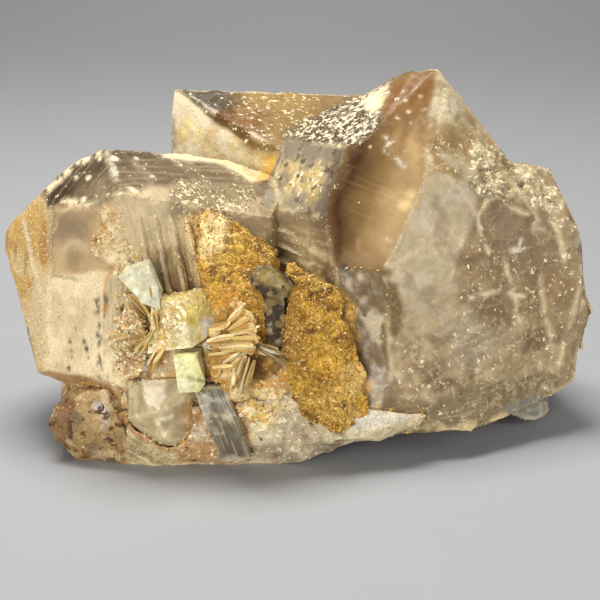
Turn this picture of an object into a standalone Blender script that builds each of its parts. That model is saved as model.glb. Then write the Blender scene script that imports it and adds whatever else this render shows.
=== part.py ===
"""A smoky quartz cluster: intergrown crystals on a feldspar base, with small minerals in its hollow.

Units are metres and +Z is up. Corner lists are in millimetres: x to the right, y to the back,
z up from the surface that the specimen rests on.
"""
import bmesh
import bpy
from mathutils import Matrix, Vector, noise

MM = 0.001
GAP = 0.3 * MM            # clearance between two pieces that touch
JOINT_REACH = 0.02 * MM   # corners closer than this are one corner
SHARPEST_GROWTH = 2.5     # how much further than the gap a sharp corner of a cutter moves
MOST_SPLITS = 6           # how often long edges are halved before relief is added
SEED_STEP = Vector((3.7, 1.3, 2.9))   # how far apart in the noise two seeds lie
FINE_WAVE = 2.3           # the second, finer wave of a rough surface, against the first
FINE_SHARE = 0.5

# Corners of each crystal: its flat faces are the hull of these points.
LEFT_CRYSTAL = (
    (-59.5, -12.5, 59.5), (-56, -20, 55.5), (-59.5, -26, 20), (-42.5, -37, 20),
    (-40, -29, 62), (-72.5, 3, 45), (-72.5, 2.5, 42), (-71.5, 2, 47), (-70, -2, 38),
    (-62.5, -8, 56.5), (-61.5, -23, 18), (-56, -12.5, 63), (-51.5, -13, 66.5),
    (-45, -15, 69.5), (-30.5, -6.5, 67), (-26, -3.5, 66), (-18, 1.5, 64), (-12, 1, 60.5),
    (-7, -12, 52.5), (-3, 5.5, 57.5), (-5, -17.5, 9), (-40, -34, 12), (-52, -14, 11),
    (-60, 24, 42), (-44, 20, 57), (-10, 30, 48), (-58, 20, 14), (-10, 34, 12),
)
BACK_CRYSTAL = (
    (-32, 30, 76.5), (-33, 27, 68), (-32.5, 18, 49), (-5, 9, 64.5), (-9.5, 6, 51.5),
    (-2.5, 6.5, 61), (27, 41, 73), (22, 11, 61),
    (-31, 46, 68), (-31, 44, 46), (30, 48, 66), (30, 46, 40), (-28, 30, 36), (10, 20, 36),
)
MAIN_CRYSTAL = (
    (-3, 9, 68), (11, -9, 69), (6, -19, 54.5), (-9, 0, 53), (17, -8, 72), (20.5, 14, 80),
    (15, 13.5, 77), (24.5, 11, 83), (27.5, 9.5, 84.2), (33, 7, 85), (35.5, 5, 82.5),
    (8, -25.5, 44.2), (15, -33.5, 16.5), (-1, -21, 12.5), (48.5, 2, 65), (65, -3, 46),
    (66, -10, 26), (64, -14, 11), (14.5, -36, 7), (23.5, -35, 8), (39.5, -31, 6.5), (45.5, -27, 7),
    (30, -13, 65.2), (19, -27, 43.5), (21, -34, 22),
    (24, 34, 68), (46, 30, 58), (62, 26, 40), (62, 22, 8), (0, 40, 48), (6, 42, 10), (56, 30, 6),
)
RIGHT_LOBE = (
    (50, -2, 62), (53, 4, 62.5), (61, 6, 60.5), (67.5, -4, 47.5), (68, -8, 38), (69.5, -8, 27.5),
    (66, -13, 12), (60, -18, 10.5), (40, -10, 50), (46, -18, 20),
    (64, 20, 48), (66, 18, 22), (62, 20, 8), (42, 16, 56),
)
LOWER_RIGHT_CRYSTAL = (
    (50, -12, 4), (59.5, -5, 7), (61.5, -5, 3.5), (61.5, -7, 3), (60, -9, 1.7), (56.5, -11, 1.4),
    (53, -12, 2.5), (50, 6, 8), (60, 10, 10), (56, 8, 3.5),
)
GLASSY_LUMP = (
    (-39, -38, 21), (-24.5, -38, 21.5), (-22, -38, 18.5), (-23.5, -39, 10.5), (-28, -40, 4.5),
    (-32.5, -42, 8), (-39, -42, 13), (-31, -44, 16),
    (-40, -30, 20), (-20, -28, 20), (-38, -28, 5), (-22, -28, 5),
)
STRIATED_BLOCK = (
    (-24.3, -39.8, 20.3), (-16.4, -39.8, 20.3), (-21.8, -42, 14), (-14.2, -42, 14),
    (-10.9, -41.4, 3.2), (-18, -41.8, 2.8),
    (-24, -20, 20), (-15, -20, 20), (-11, -22, 4), (-18, -22, 4),
)

# The rock base, a few rough lumps that carry the crystals.
BASE_KNOB = (
    (-51, -18, 18), (-55, -30, 13), (-57.5, -33, 9), (-57.5, -33, 5), (-54.5, -33, 3), (-51.5, -33, 0.5),
    (-44, -33, -1), (-38, -34, -1), (-40, -40, 10), (-44, -37, 18), (-54, -10, 16), (-54, -12, -1),
    (-34, -10, 14), (-34, -12, -1),
)
BASE_STRIP = (
    (-42, -35, -1), (-36, -36, -1), (-20, -35.5, -1), (-9, -35, -1), (0, -36, 1.5), (7, -36, 3.6),
    (-40, -38.5, 6), (-24, -38.5, 6), (-8, -38.5, 6), (4, -38, 6.5), (12, -37, 6.5),
    (-2, -38, 12), (-10, -39, 16), (-36, -40, 14), (-44, -36, 12), (12, -34, 12), (8, -36, 16),
    (-40, -12, -1), (0, -12, -1), (10, -12, 12), (-40, -12, 12),
)
BASE_MIDDLE = (
    (-42, -35, 12), (-43, -35, 30), (-40, -33, 40), (-30, -31.5, 38), (-20, -33, 36), (-8, -35.5, 33),
    (-2, -37.5, 26), (0, -38, 14), (-24, -38, 14),
    (-40, -14, 12), (-40, -14, 36), (0, -14, 12), (-4, -14, 30),
)
BASE_LEDGE = (
    (2, -39.5, 7), (2, -38, 15), (10, -37, 6), (13, -39.5, 8), (13, -40, 12.5), (20, -38.8, 9.5),
    (20, -39, 12.5), (28, -35.6, 11.5), (27, -35.2, 9.5), (18, -37, 6.5),
    (12, -28, 12), (27, -28, 11.5), (26, -28, 7), (12, -28, 5),
)
BASE_REAR = (
    (-46, -14, -1), (-50, 14, -1), (-40, 34, -1), (-6, 42, -1), (30, 42, -1), (50, 32, -1),
    (46, 10, -1), (10, -6, -1), (-48, 16, 20), (-38, 36, 26), (-4, 46, 30), (32, 46, 26),
    (54, 34, 16), (48, 12, 10), (0, -10, 12), (-44, -12, 16),
    (-20, 10, 44), (4, 8, 47), (12, 40, 43), (-24, 40, 40),
)

# Small crystals in the hollow between the left and the main crystal.
YELLOW_GREEN = (
    (-33, -37, 39), (-29, -37, 38), (-26, -37, 40), (-21, -35, 41), (-18.5, -35, 35),
    (-21, -38, 31), (-24, -40, 29.5), (-34, -40, 28),
    (-32, -28, 38), (-20, -26, 40), (-20, -28, 28), (-34, -28, 28),
)
GREEN_CUBE = (
    (-28, -43, 28), (-23, -43, 28.5), (-21.5, -42, 24), (-21, -42.5, 22), (-22.5, -43, 20),
    (-27, -43.5, 20), (-28, -35, 28), (-22, -34, 28), (-22, -34, 20), (-28, -35, 20),
)
PALE_TABULAR = (
    (-40.5, -37, 45), (-38.5, -36, 47), (-36, -36, 48), (-33.5, -36.5, 46.5), (-31.5, -38, 43),
    (-31, -39, 38), (-35, -39.5, 39.5),
    (-39, -28, 45), (-34, -28, 47), (-31, -30, 40), (-36, -30, 39),
)
EDGE_STRIP = (
    (68.6, -5, 34), (70.2, -6, 28), (69.6, -7, 25.5), (69.4, -7.5, 22), (68.4, -9, 19.5), (66.4, -12, 20),
    (66.6, -12, 27), (66.8, -11, 30),
    (68, 4, 32), (69.4, 4, 27), (68, 4, 21), (64, -4, 30), (64, -6, 20),
)
STALK_HEAD = (
    (-11, -35, 45), (-9.5, -34, 46.5), (-6.5, -34, 46.5), (-4.5, -36, 44), (-1.5, -37, 42.5),
    (-3, -38.5, 40.5), (-4.5, -38, 39.5), (-8, -38, 41), (-11, -37, 43.5), (-8, -26, 45), (-2, -28, 42),
)
STALK_STEM = (
    (-8.5, -37, 42), (-3.5, -37, 42), (-3.7, -40, 33), (-4.5, -41, 28), (-7, -41, 29),
    (-7.5, -40, 34), (-6, -30, 42), (-3, -30, 30), (-7, -30, 30),
)

# The two ochre crusts, each a grainy pad on the crystals behind it.
CRUST_LEFT = (
    (-23, -26, 56), (-18, -25, 55.5), (-13, -26, 53), (-10, -27, 49), (-8, -31, 46), (-7, -35, 40),
    (-7, -38.5, 33), (-8, -40, 28), (-14, -40, 28), (-18, -39, 37), (-21.5, -36, 45), (-23, -31, 50),
    (-20, -14, 54), (-5, -16, 46), (-4, -22, 28), (-18, -24, 32),
)
CRUST_RIGHT = (
    (-3, -33, 43.5), (3, -32, 43.5), (8, -31, 40), (10.5, -33, 35), (11, -35, 28), (13.5, -36.5, 22),
    (16, -37.5, 17), (15, -39, 13), (10, -41, 9.5), (4, -41.5, 11), (-1.5, -42, 18), (-3.5, -42, 26),
    (-4, -41, 33),
    (-2, -20, 42), (8, -20, 38), (13, -26, 16), (0, -26, 14),
)

# Albite blades: root, tip (x, y, z) and the blade's width.
FAN_ROOT = (-18.5, -37.5, 32)
FAN_BLADES = (
    ((-13, -42, 41), 3.0), ((-10.5, -43, 38.2), 3.2), ((-9.5, -44, 35.4), 3.2), ((-9.2, -44.5, 32.8), 3.0),
    ((-9.8, -44.5, 30.2), 3.0), ((-12.0, -45, 27.6), 2.8), ((-13.4, -45.5, 24.6), 2.8),
    ((-15.8, -45.5, 21), 3.4), ((-14, -45, 18.5), 2.8), ((-16.8, -44, 40), 2.6), ((-4.5, -42, 28.5), 2.8),
    ((-18.6, -44.5, 24), 2.6),
)
SIDE_FAN_ROOT = (-34.5, -37, 30)
SIDE_BLADES = (
    ((-41, -42, 37), 2.4), ((-42.5, -42, 33), 2.6), ((-38, -43, 39), 2.2), ((-41, -43, 27), 2.4),
    ((-37, -44, 24), 2.4), ((-42, -42, 30), 2.2),
)
BLADE_THICKNESS = 0.9
BLADE_STATIONS = (        # how far along, and the share of the width and of the thickness there
    (0.0, 0.55, 1.2), (0.6, 1.0, 1.0), (0.93, 0.95, 0.9), (1.0, 0.45, 0.4),
)
BLADE_FACING = Vector((0.25, 1.0, 0.15))   # blades stand roughly edge-on to this direction
FAN_CORE_RADIUS = 2.2

# Growth ridges on two prism faces: start and end of the first and of the last ridge.
LEFT_RIDGES = (((-36.5, -27.2, 58), (-33, -30.5, 38)), ((-15.5, -16.5, 53), (-11, -21.5, 33)))
LEFT_RIDGE_COUNT = 7
MAIN_RIDGES = (((-6.8, -4.2, 48.5), (6.2, -20.6, 47.6)), ((-4.4, -10.8, 38), (8.6, -26, 35)))
MAIN_RIDGE_COUNT = 4
RIDGE_WIDTH = 1.8
RIDGE_HEIGHT = 0.6
RIDGE_ROOT = 1.5          # how deep a ridge is sunk in its face


def clear_scene():
    for thing in list(bpy.data.objects):
        bpy.data.objects.remove(thing, do_unlink=True)


def material(name, colour, roughness):
    """A plain finish for one kind of mineral."""
    finish = bpy.data.materials.new(name)
    finish.use_nodes = True
    shader = finish.node_tree.nodes["Principled BSDF"]
    shader.inputs["Base Color"].default_value = (*colour, 1.0)
    shader.inputs["Roughness"].default_value = roughness
    shader.inputs["Metallic"].default_value = 0.0
    finish.diffuse_color = (*colour, 1.0)
    return finish


def add_object(name, mesh_builder, finish=None):
    """Turn a bmesh into a named object in the scene."""
    mesh = bpy.data.meshes.new(name)
    bmesh.ops.recalc_face_normals(mesh_builder, faces=mesh_builder.faces[:])
    mesh_builder.to_mesh(mesh)
    mesh_builder.free()
    thing = bpy.data.objects.new(name, mesh)
    bpy.context.scene.collection.objects.link(thing)
    if finish:
        mesh.materials.append(finish)
    return thing


def hull(corners):
    """The flat-faced crystal whose corners, in millimetres, are given."""
    shape = bmesh.new()
    for corner in corners:
        shape.verts.new(Vector(corner) * MM)
    result = bmesh.ops.convex_hull(shape, input=shape.verts[:])
    inside = {item for item in result["geom_interior"] if isinstance(item, bmesh.types.BMVert)}
    bmesh.ops.delete(shape, geom=list(inside), context="VERTS")
    bmesh.ops.recalc_face_normals(shape, faces=shape.faces[:])
    return shape


def split_long_edges(shape, longest):
    """Divide every edge longer than the given length, so that relief can be added."""
    for _ in range(MOST_SPLITS):
        long_edges = [edge for edge in shape.edges if edge.calc_length() > longest]
        if not long_edges:
            break
        bmesh.ops.subdivide_edges(shape, edges=long_edges, cuts=1)
        bmesh.ops.triangulate(shape, faces=shape.faces[:])


def rough_hull(corners, edge, relief, wave, seed, rounding=0):
    """A hull with a broken, lumpy surface: relief and wave are in millimetres."""
    shape = hull(corners)
    split_long_edges(shape, edge * MM)
    for _ in range(rounding):
        bmesh.ops.smooth_vert(shape, verts=shape.verts[:], factor=0.5,
                              use_axis_x=True, use_axis_y=True, use_axis_z=True)
    shift = SEED_STEP * seed
    shape.normal_update()
    moves = []
    for vert in shape.verts:
        place = vert.co / (wave * MM) + shift
        height = noise.noise(place) + FINE_SHARE * noise.noise(place * FINE_WAVE)
        moves.append(vert.normal * height * relief * MM)
    for vert, move in zip(shape.verts, moves):
        vert.co += move
    return shape


def clearance(name, shape):
    """A wire-shown cutter: the given shape, larger by the gap all round."""
    larger = shape.copy()
    larger.normal_update()
    moves = [vert.normal * GAP * min(vert.calc_shell_factor(), SHARPEST_GROWTH) for vert in larger.verts]
    for vert, move in zip(larger.verts, moves):
        vert.co += move
    cutter = add_object(name + "_clearance", larger)
    cutter.hide_render = True
    cutter.display_type = "WIRE"
    return cutter


def apply_boolean(thing, other, operation):
    step = thing.modifiers.new(operation.lower(), "BOOLEAN")
    step.operation = operation
    step.solver = "EXACT"
    step.object = other
    evaluated = thing.evaluated_get(bpy.context.evaluated_depsgraph_get())
    result = bpy.data.meshes.new_from_object(evaluated)
    thing.modifiers.clear()
    thing.data = result


def tidy(thing):
    """Keep the largest closed shell, with clean triangles."""
    shape = bmesh.new()
    shape.from_mesh(thing.data)
    bmesh.ops.remove_doubles(shape, verts=shape.verts[:], dist=JOINT_REACH)
    bmesh.ops.dissolve_degenerate(shape, edges=shape.edges[:], dist=JOINT_REACH)
    bmesh.ops.triangulate(shape, faces=shape.faces[:])
    shells = []
    left = set(shape.faces)
    while left:
        front = [left.pop()]
        shell = list(front)
        while front:
            face = front.pop()
            for edge in face.edges:
                for neighbour in edge.link_faces:
                    if neighbour in left:
                        left.remove(neighbour)
                        shell.append(neighbour)
                        front.append(neighbour)
        shells.append(shell)
    shells.sort(key=len, reverse=True)
    for shell in shells[1:]:
        bmesh.ops.delete(shape, geom=shell, context="FACES")
    loose = [vert for vert in shape.verts if not vert.link_faces]
    bmesh.ops.delete(shape, geom=loose, context="VERTS")
    shape.to_mesh(thing.data)
    shape.free()


def join_all(name, shapes, finish):
    """Join overlapping shapes into one solid, and keep a cutter of each for its neighbours."""
    cutters = [clearance(name, shape) for shape in shapes]
    whole = add_object(name, shapes[0], finish)
    for shape in shapes[1:]:
        other = add_object(name + "_part", shape)
        apply_boolean(whole, other, "UNION")
        bpy.data.objects.remove(other, do_unlink=True)
    tidy(whole)
    return whole, cutters


def make_room(piece, neighbours):
    """Cut a piece back from the neighbours that it grows against."""
    thing, _ = piece
    for _, cutters in neighbours:
        for cutter in cutters:
            if boxes_meet(thing, cutter):
                apply_boolean(thing, cutter, "DIFFERENCE")
    tidy(thing)


def boxes_meet(thing, other):
    """Whether the boxes round two objects overlap."""
    for axis in range(3):
        here = [vert.co[axis] for vert in thing.data.vertices]
        there = [vert.co[axis] for vert in other.data.vertices]
        if not here or min(here) > max(there) or max(here) < min(there):
            return False
    return True


def blade(root, tip, width):
    """A thin albite blade: narrow at its root, chisel-shaped at its tip."""
    start = Vector(root) * MM
    end = Vector(tip) * MM
    along = (end - start).normalized()
    across = along.cross(BLADE_FACING).normalized()
    over = across.cross(along)
    half_width = width * MM / 2
    half_thick = BLADE_THICKNESS * MM / 2
    shape = bmesh.new()
    for reach, wide, thick in BLADE_STATIONS:
        middle = start.lerp(end, reach)
        for side, face in ((-1, -1), (1, -1), (1, 1), (-1, 1)):
            place = middle + across * side * half_width * wide
            shape.verts.new(place + over * face * half_thick * thick)
    bmesh.ops.convex_hull(shape, input=shape.verts[:])
    return shape


def growth_ridges(first, last, count, width):
    """Low parallel steps across a prism face, as thin bars sunk in it."""
    bars = []
    for index in range(count):
        share = index / (count - 1)
        start = Vector(first[0]).lerp(Vector(last[0]), share)
        end = Vector(first[1]).lerp(Vector(last[1]), share)
        out = (Vector(last[0]) - Vector(first[0])).cross(end - start).normalized()
        if out.y > 0:
            out = -out
        side = (end - start).cross(out).normalized() * width / 2
        low = out * RIDGE_ROOT
        corners = []
        for place in (start, end):
            corners += [place + side - low, place - side - low, place + side, place - side,
                        place + side * 0.3 + out * RIDGE_HEIGHT]
        bars.append(hull(corners))
    return bars


def quartz(finish):
    """The intergrown smoky crystals, one solid."""
    shapes = [
        hull(MAIN_CRYSTAL),
        hull(LEFT_CRYSTAL),
        hull(BACK_CRYSTAL),
        rough_hull(RIGHT_LOBE, 8.0, 0.7, 7.0, 3),
        hull(LOWER_RIGHT_CRYSTAL),
        rough_hull(GLASSY_LUMP, 4.0, 0.8, 8.0, 5, rounding=1),
        hull(STRIATED_BLOCK),
    ]
    shapes += growth_ridges(*LEFT_RIDGES, LEFT_RIDGE_COUNT, RIDGE_WIDTH)
    shapes += growth_ridges(*MAIN_RIDGES, MAIN_RIDGE_COUNT, RIDGE_WIDTH)
    return join_all("quartz", shapes, finish)


def matrix_rock(finish):
    """The feldspar and albite base, cut flat where it rests."""
    shapes = [
        rough_hull(BASE_REAR, 14.0, 1.6, 11.0, 11),
        rough_hull(BASE_STRIP, 7.0, 1.3, 6.0, 12),
        rough_hull(BASE_MIDDLE, 7.5, 1.2, 6.0, 15),
        rough_hull(BASE_KNOB, 5.0, 1.5, 6.0, 13),
        rough_hull(BASE_LEDGE, 5.0, 0.9, 5.0, 14),
    ]
    rock, cutters = join_all("matrix", shapes, finish)
    floor = bmesh.new()
    bmesh.ops.create_cube(floor, size=1.0, matrix=Matrix.Translation((0, 0, -0.5)))
    below = add_object("below", floor)
    apply_boolean(rock, below, "DIFFERENCE")
    bpy.data.objects.remove(below, do_unlink=True)
    return rock, cutters


def fan(name, root, blades, finish):
    """Blades spread from one root."""
    shapes = [blade(root, tip, width) for tip, width in blades]
    core = bmesh.new()
    bmesh.ops.create_icosphere(core, subdivisions=2, radius=FAN_CORE_RADIUS * MM,
                               matrix=Matrix.Translation(Vector(root) * MM))
    return join_all(name, [core] + shapes, finish)


def seat(things):
    """Put the origin under the middle of the whole specimen, on the surface it rests on."""
    corners = [vert.co for thing in things for vert in thing.data.vertices]
    middle = Vector((0, 0, 0))
    for axis in (0, 1):
        middle[axis] = (min(corner[axis] for corner in corners) + max(corner[axis] for corner in corners)) / 2
    middle.z = min(corner.z for corner in corners)
    for thing in things:
        thing.location = -middle


def build():
    clear_scene()
    smoky = material("smoky_quartz", (0.28, 0.19, 0.11), 0.12)
    rock = material("feldspar", (0.58, 0.42, 0.25), 0.85)
    ochre = material("ochre_druse", (0.62, 0.38, 0.10), 0.8)
    albite = material("albite", (0.78, 0.64, 0.42), 0.6)
    green = material("green_crystal", (0.48, 0.50, 0.28), 0.35)
    yellow = material("yellow_green_crystal", (0.70, 0.62, 0.30), 0.45)
    pale = material("pale_tabular_crystal", (0.55, 0.58, 0.46), 0.3)
    dark = material("dark_stalk", (0.06, 0.045, 0.025), 0.6)

    crystals = quartz(smoky)
    block = join_all("yellow_green_crystal", [hull(YELLOW_GREEN)], yellow)
    cube = join_all("green_crystal", [hull(GREEN_CUBE)], green)
    plate = join_all("pale_tabular_crystal", [hull(PALE_TABULAR)], pale)
    main_fan = fan("albite_blade_fan", FAN_ROOT, FAN_BLADES, albite)
    side_fan = fan("albite_side_blades", SIDE_FAN_ROOT, SIDE_BLADES, albite)
    strip = join_all("albite_strip", [rough_hull(EDGE_STRIP, 3.0, 0.5, 3.0, 21)], albite)
    stalk_shapes = [rough_hull(STALK_HEAD, 3.2, 0.5, 2.5, 31), rough_hull(STALK_STEM, 3.2, 0.5, 2.5, 32)]
    stalk = join_all("dark_stalk", stalk_shapes, dark)
    crust_left = join_all("ochre_crust_left", [rough_hull(CRUST_LEFT, 4.4, 0.8, 2.6, 41)], ochre)
    crust_right = join_all("ochre_crust_right", [rough_hull(CRUST_RIGHT, 4.2, 0.8, 2.6, 42)], ochre)
    base = matrix_rock(rock)

    in_order = [crystals, cube, block, plate, main_fan, side_fan, strip, stalk, crust_left, crust_right, base]
    for place, piece in enumerate(in_order):
        make_room(piece, in_order[:place])
    for helper in [thing for thing in bpy.data.objects if thing.hide_render]:
        bpy.data.objects.remove(helper, do_unlink=True)
    seat([thing for thing, _ in in_order])


build()
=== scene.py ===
import math

import bpy
import numpy as np
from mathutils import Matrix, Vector
from mathutils.bvhtree import BVHTree


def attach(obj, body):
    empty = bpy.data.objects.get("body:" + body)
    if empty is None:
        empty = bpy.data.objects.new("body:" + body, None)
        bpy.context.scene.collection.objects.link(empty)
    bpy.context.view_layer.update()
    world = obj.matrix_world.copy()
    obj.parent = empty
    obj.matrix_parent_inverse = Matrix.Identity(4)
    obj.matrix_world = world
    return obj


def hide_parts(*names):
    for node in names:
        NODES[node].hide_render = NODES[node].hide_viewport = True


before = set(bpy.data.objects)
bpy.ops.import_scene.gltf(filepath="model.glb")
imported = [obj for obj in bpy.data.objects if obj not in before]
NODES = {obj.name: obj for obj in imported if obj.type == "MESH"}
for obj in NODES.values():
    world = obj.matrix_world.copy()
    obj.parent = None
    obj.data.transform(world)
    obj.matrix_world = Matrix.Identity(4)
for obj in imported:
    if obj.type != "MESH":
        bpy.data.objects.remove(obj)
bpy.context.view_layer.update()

MM = 0.001

# The camera looks along +Y and a little down. Pixels are places in its 600 x 600 frame.
FRAME_PIXELS = 600
VIEW_TILT = math.radians(16.0)
VIEW_DISTANCE = 410 * MM
VIEW_TARGET = Vector((1.04, -1.07, 29.0)) * MM
LENS = 100.0
SENSOR = 36.0
SHARP = math.cos(math.radians(14))       # an edge that turns more than this is a crystal's edge
GROOVE_STRETCH = 14.0                    # how far the noise for grooves is drawn out
LINE_STRETCH = 16.0                      # how much longer a growth line is than it is wide
QUARTZ_IOR = 1.544
SMOKE_DENSITY = 30.0                     # of the brown absorption, per metre
FELDSPAR_IOR = 1.53
GRAIN_IOR = 1.54
GREEN_IOR = 1.6

RIGHT = Vector((1, 0, 0))
UP = Vector((0, math.sin(VIEW_TILT), math.cos(VIEW_TILT)))
AHEAD = Vector((0, math.cos(VIEW_TILT), -math.sin(VIEW_TILT)))
EYE = VIEW_TARGET - AHEAD * VIEW_DISTANCE
PIXEL = SENSOR / LENS / FRAME_PIXELS


def rgb(red, green, blue):
    """A colour given in screen values, as the linear values that shaders take."""
    levels = (red / 255, green / 255, blue / 255)
    return tuple(c / 12.92 if c <= 10 / 255 else ((c + 0.055) / 1.055) ** 2.4 for c in levels)


def rgba(red, green, blue):
    return (*rgb(red, green, blue), 1.0)


# ---------------------------------------------------------------- places and patterns

def line_of_sight(px, py):
    middle = FRAME_PIXELS / 2
    return (AHEAD + RIGHT * (px - middle) * PIXEL + UP * (middle - py) * PIXEL).normalized()


def pixels(text):
    """The places that a text of AT holds, as a tuple of numbers each."""
    return [tuple(float(number) for number in place.split(",")) for place in text.split()]


def land(tree, px, py):
    """Where the line of sight through a pixel meets a surface, and its normal there.
    A pixel just past the surface's rim is taken at the nearest place on it."""
    for reach in range(0, 40, 2):
        for turn in range(12 if reach else 1):
            angle = turn * math.pi / 6
            sight = line_of_sight(px + reach * math.cos(angle), py + reach * math.sin(angle))
            place, normal, _, _ = tree.ray_cast(EYE, sight)
            if place is not None:
                return place, normal
    raise ValueError(f"pixel {px},{py} is far off the surface")


def to_pixels(points):
    """The frame's pixels of an array of points."""
    away = points - np.array(EYE)
    depth = away @ np.array(AHEAD)
    middle = FRAME_PIXELS / 2
    across = middle + away @ np.array(RIGHT) / depth / PIXEL
    down = middle - away @ np.array(UP) / depth / PIXEL
    return np.stack([across, down], 1)


def lattice(x, y, z, seed):
    """Repeatable numbers from -1 to 1 for whole-number places."""
    n = (x * 374761393 + y * 668265263 + z * 1440662683 + seed * 974634777) & 0x7FFFFFFF
    n = ((n ^ (n >> 13)) * 1274126177) & 0x7FFFFFFF
    n = ((n ^ (n >> 15)) * 668265263) & 0x7FFFFFFF
    return ((n >> 8) & 0xFFFF) / 32767.5 - 1.0


def waves(points, size, seed, octaves=3):
    """Smooth noise from about -1 to 1; size is the width of its largest lumps."""
    total = np.zeros(len(points))
    share, whole = 1.0, 0.0
    for octave in range(octaves):
        place = points / size * 2 ** octave + 17.3 * (seed + octave)
        base = np.floor(place).astype(np.int64)
        part = place - base
        part = part * part * (3 - 2 * part)
        value = np.zeros(len(points))
        for corner in range(8):
            step = [(corner >> axis) & 1 for axis in range(3)]
            weight = np.ones(len(points))
            for axis in range(3):
                weight *= part[:, axis] if step[axis] else 1 - part[:, axis]
            value += weight * lattice(base[:, 0] + step[0], base[:, 1] + step[1], base[:, 2] + step[2], seed)
        total += value * share
        whole += share
        share *= 0.5
    return total / whole * 1.5


def cells(points, size, seed):
    """Distance to the nearest of one random point per cell, in cells, and that cell's own number."""
    place = points / size
    base = np.floor(place).astype(np.int64)
    nearest = np.full(len(points), 9.0)
    owner = np.zeros(len(points))
    for dx in (-1, 0, 1):
        for dy in (-1, 0, 1):
            for dz in (-1, 0, 1):
                x, y, z = base[:, 0] + dx, base[:, 1] + dy, base[:, 2] + dz
                centre = np.stack([x + 0.5 + 0.45 * lattice(x, y, z, seed),
                                   y + 0.5 + 0.45 * lattice(x, y, z, seed + 1),
                                   z + 0.5 + 0.45 * lattice(x, y, z, seed + 2)], 1)
                gap = np.linalg.norm(place - centre, axis=1)
                closer = gap < nearest
                nearest[closer] = gap[closer]
                owner[closer] = lattice(x, y, z, seed + 3)[closer]
    return nearest, owner


def ramp(value, low, high):
    """0 below low and 1 above high, with a soft rise between."""
    share = np.clip((value - low) / (high - low), 0, 1)
    return share * share * (3 - 2 * share)


def from_line(points, start, end):
    """How far points lie from the straight line between two ends."""
    run = end - start
    share = np.clip(((points - start) @ run) / (run @ run), 0, 1)
    return np.linalg.norm(points - start - share[:, None] * run, axis=1)


# ---------------------------------------------------------------- meshes

def cad_triangles(node):
    """A CAD node's points and triangles."""
    mesh = NODES[node].data
    mesh.calc_loop_triangles()
    raw = np.zeros(len(mesh.vertices) * 3, np.float32)
    mesh.vertices.foreach_get("co", raw)
    corners = np.zeros(len(mesh.loop_triangles) * 3, np.int32)
    mesh.loop_triangles.foreach_get("vertices", corners)
    points, place = np.unique(raw.reshape(-1, 3).round(7), axis=0, return_inverse=True)
    triangles = place.ravel()[corners].reshape(-1, 3)
    whole = ((triangles[:, 0] != triangles[:, 1]) & (triangles[:, 1] != triangles[:, 2])
             & (triangles[:, 2] != triangles[:, 0]))
    return points.astype(float), triangles[whole]


def edge_keys(triangles, count):
    """A number for each triangle's edges that is the same for both triangles at an edge."""
    ends = np.concatenate([triangles[:, [0, 1]], triangles[:, [1, 2]], triangles[:, [2, 0]]])
    return ends.min(1) * count + ends.max(1)


def face_normals(points, triangles):
    """Each triangle's normal, as long as twice its area."""
    a, b, c = (points[triangles[:, corner]] for corner in range(3))
    return np.cross(b - a, c - a)


def subdivided(points, triangles, seen_length, hidden_length):
    """Split long edges until none is longer than given, in millimetres, where the camera sees it
    and where it does not. Triangles that share an edge split it alike, so the surface stays closed."""
    for _ in range(16):
        keys, edge = np.unique(edge_keys(triangles, len(points)), return_inverse=True)
        first, second = keys // len(points), keys % len(points)
        length = np.linalg.norm(points[first] - points[second], axis=1)
        towards_eye = np.array(EYE) - points[triangles[:, 0]]
        seen = (face_normals(points, triangles) * towards_eye).sum(1) > 0
        seen_edge = np.zeros(len(keys), bool)
        seen_edge[edge.ravel()[np.tile(seen, 3)]] = True
        split = length > np.where(seen_edge, seen_length, hidden_length) * MM
        if not split.any():
            break
        middle = np.where(split, len(points) + np.cumsum(split) - 1, -1)
        points = np.concatenate([points, (points[first[split]] + points[second[split]]) / 2])
        middles = middle[edge.ravel()].reshape(3, -1).T
        triangles = split_triangles(points, triangles, middles)
    return points, triangles


def split_triangles(points, triangles, middles):
    """Split each triangle at the middles of its edges; -1 stands for an edge that stays whole."""
    count = (middles >= 0).sum(1)
    turn = np.where(count == 1, np.argmax(middles >= 0, axis=1), (np.argmin(middles, axis=1) + 1) % 3)
    order = (turn[:, None] + np.arange(3)) % 3
    a, b, c = np.take_along_axis(triangles, order, 1).T
    ab, bc, ca = np.take_along_axis(middles, order, 1).T
    one, two, three = count == 1, count == 2, count == 3
    to_side = np.linalg.norm(points[a] - points[bc], axis=1)
    to_corner = np.linalg.norm(points[ab] - points[c], axis=1)
    short, long = two & (to_side < to_corner), two & (to_side >= to_corner)
    made = ((count == 0, a, b, c), (one, a, ab, c), (one, ab, b, c), (two, ab, b, bc),
            (short, a, ab, bc), (short, a, bc, c), (long, a, ab, c), (long, ab, bc, c),
            (three, a, ab, ca), (three, ab, b, bc), (three, ca, bc, c), (three, ab, bc, ca))
    return np.concatenate([np.stack([corner[chosen] for corner in corners], 1)
                           for chosen, *corners in made])


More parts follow.
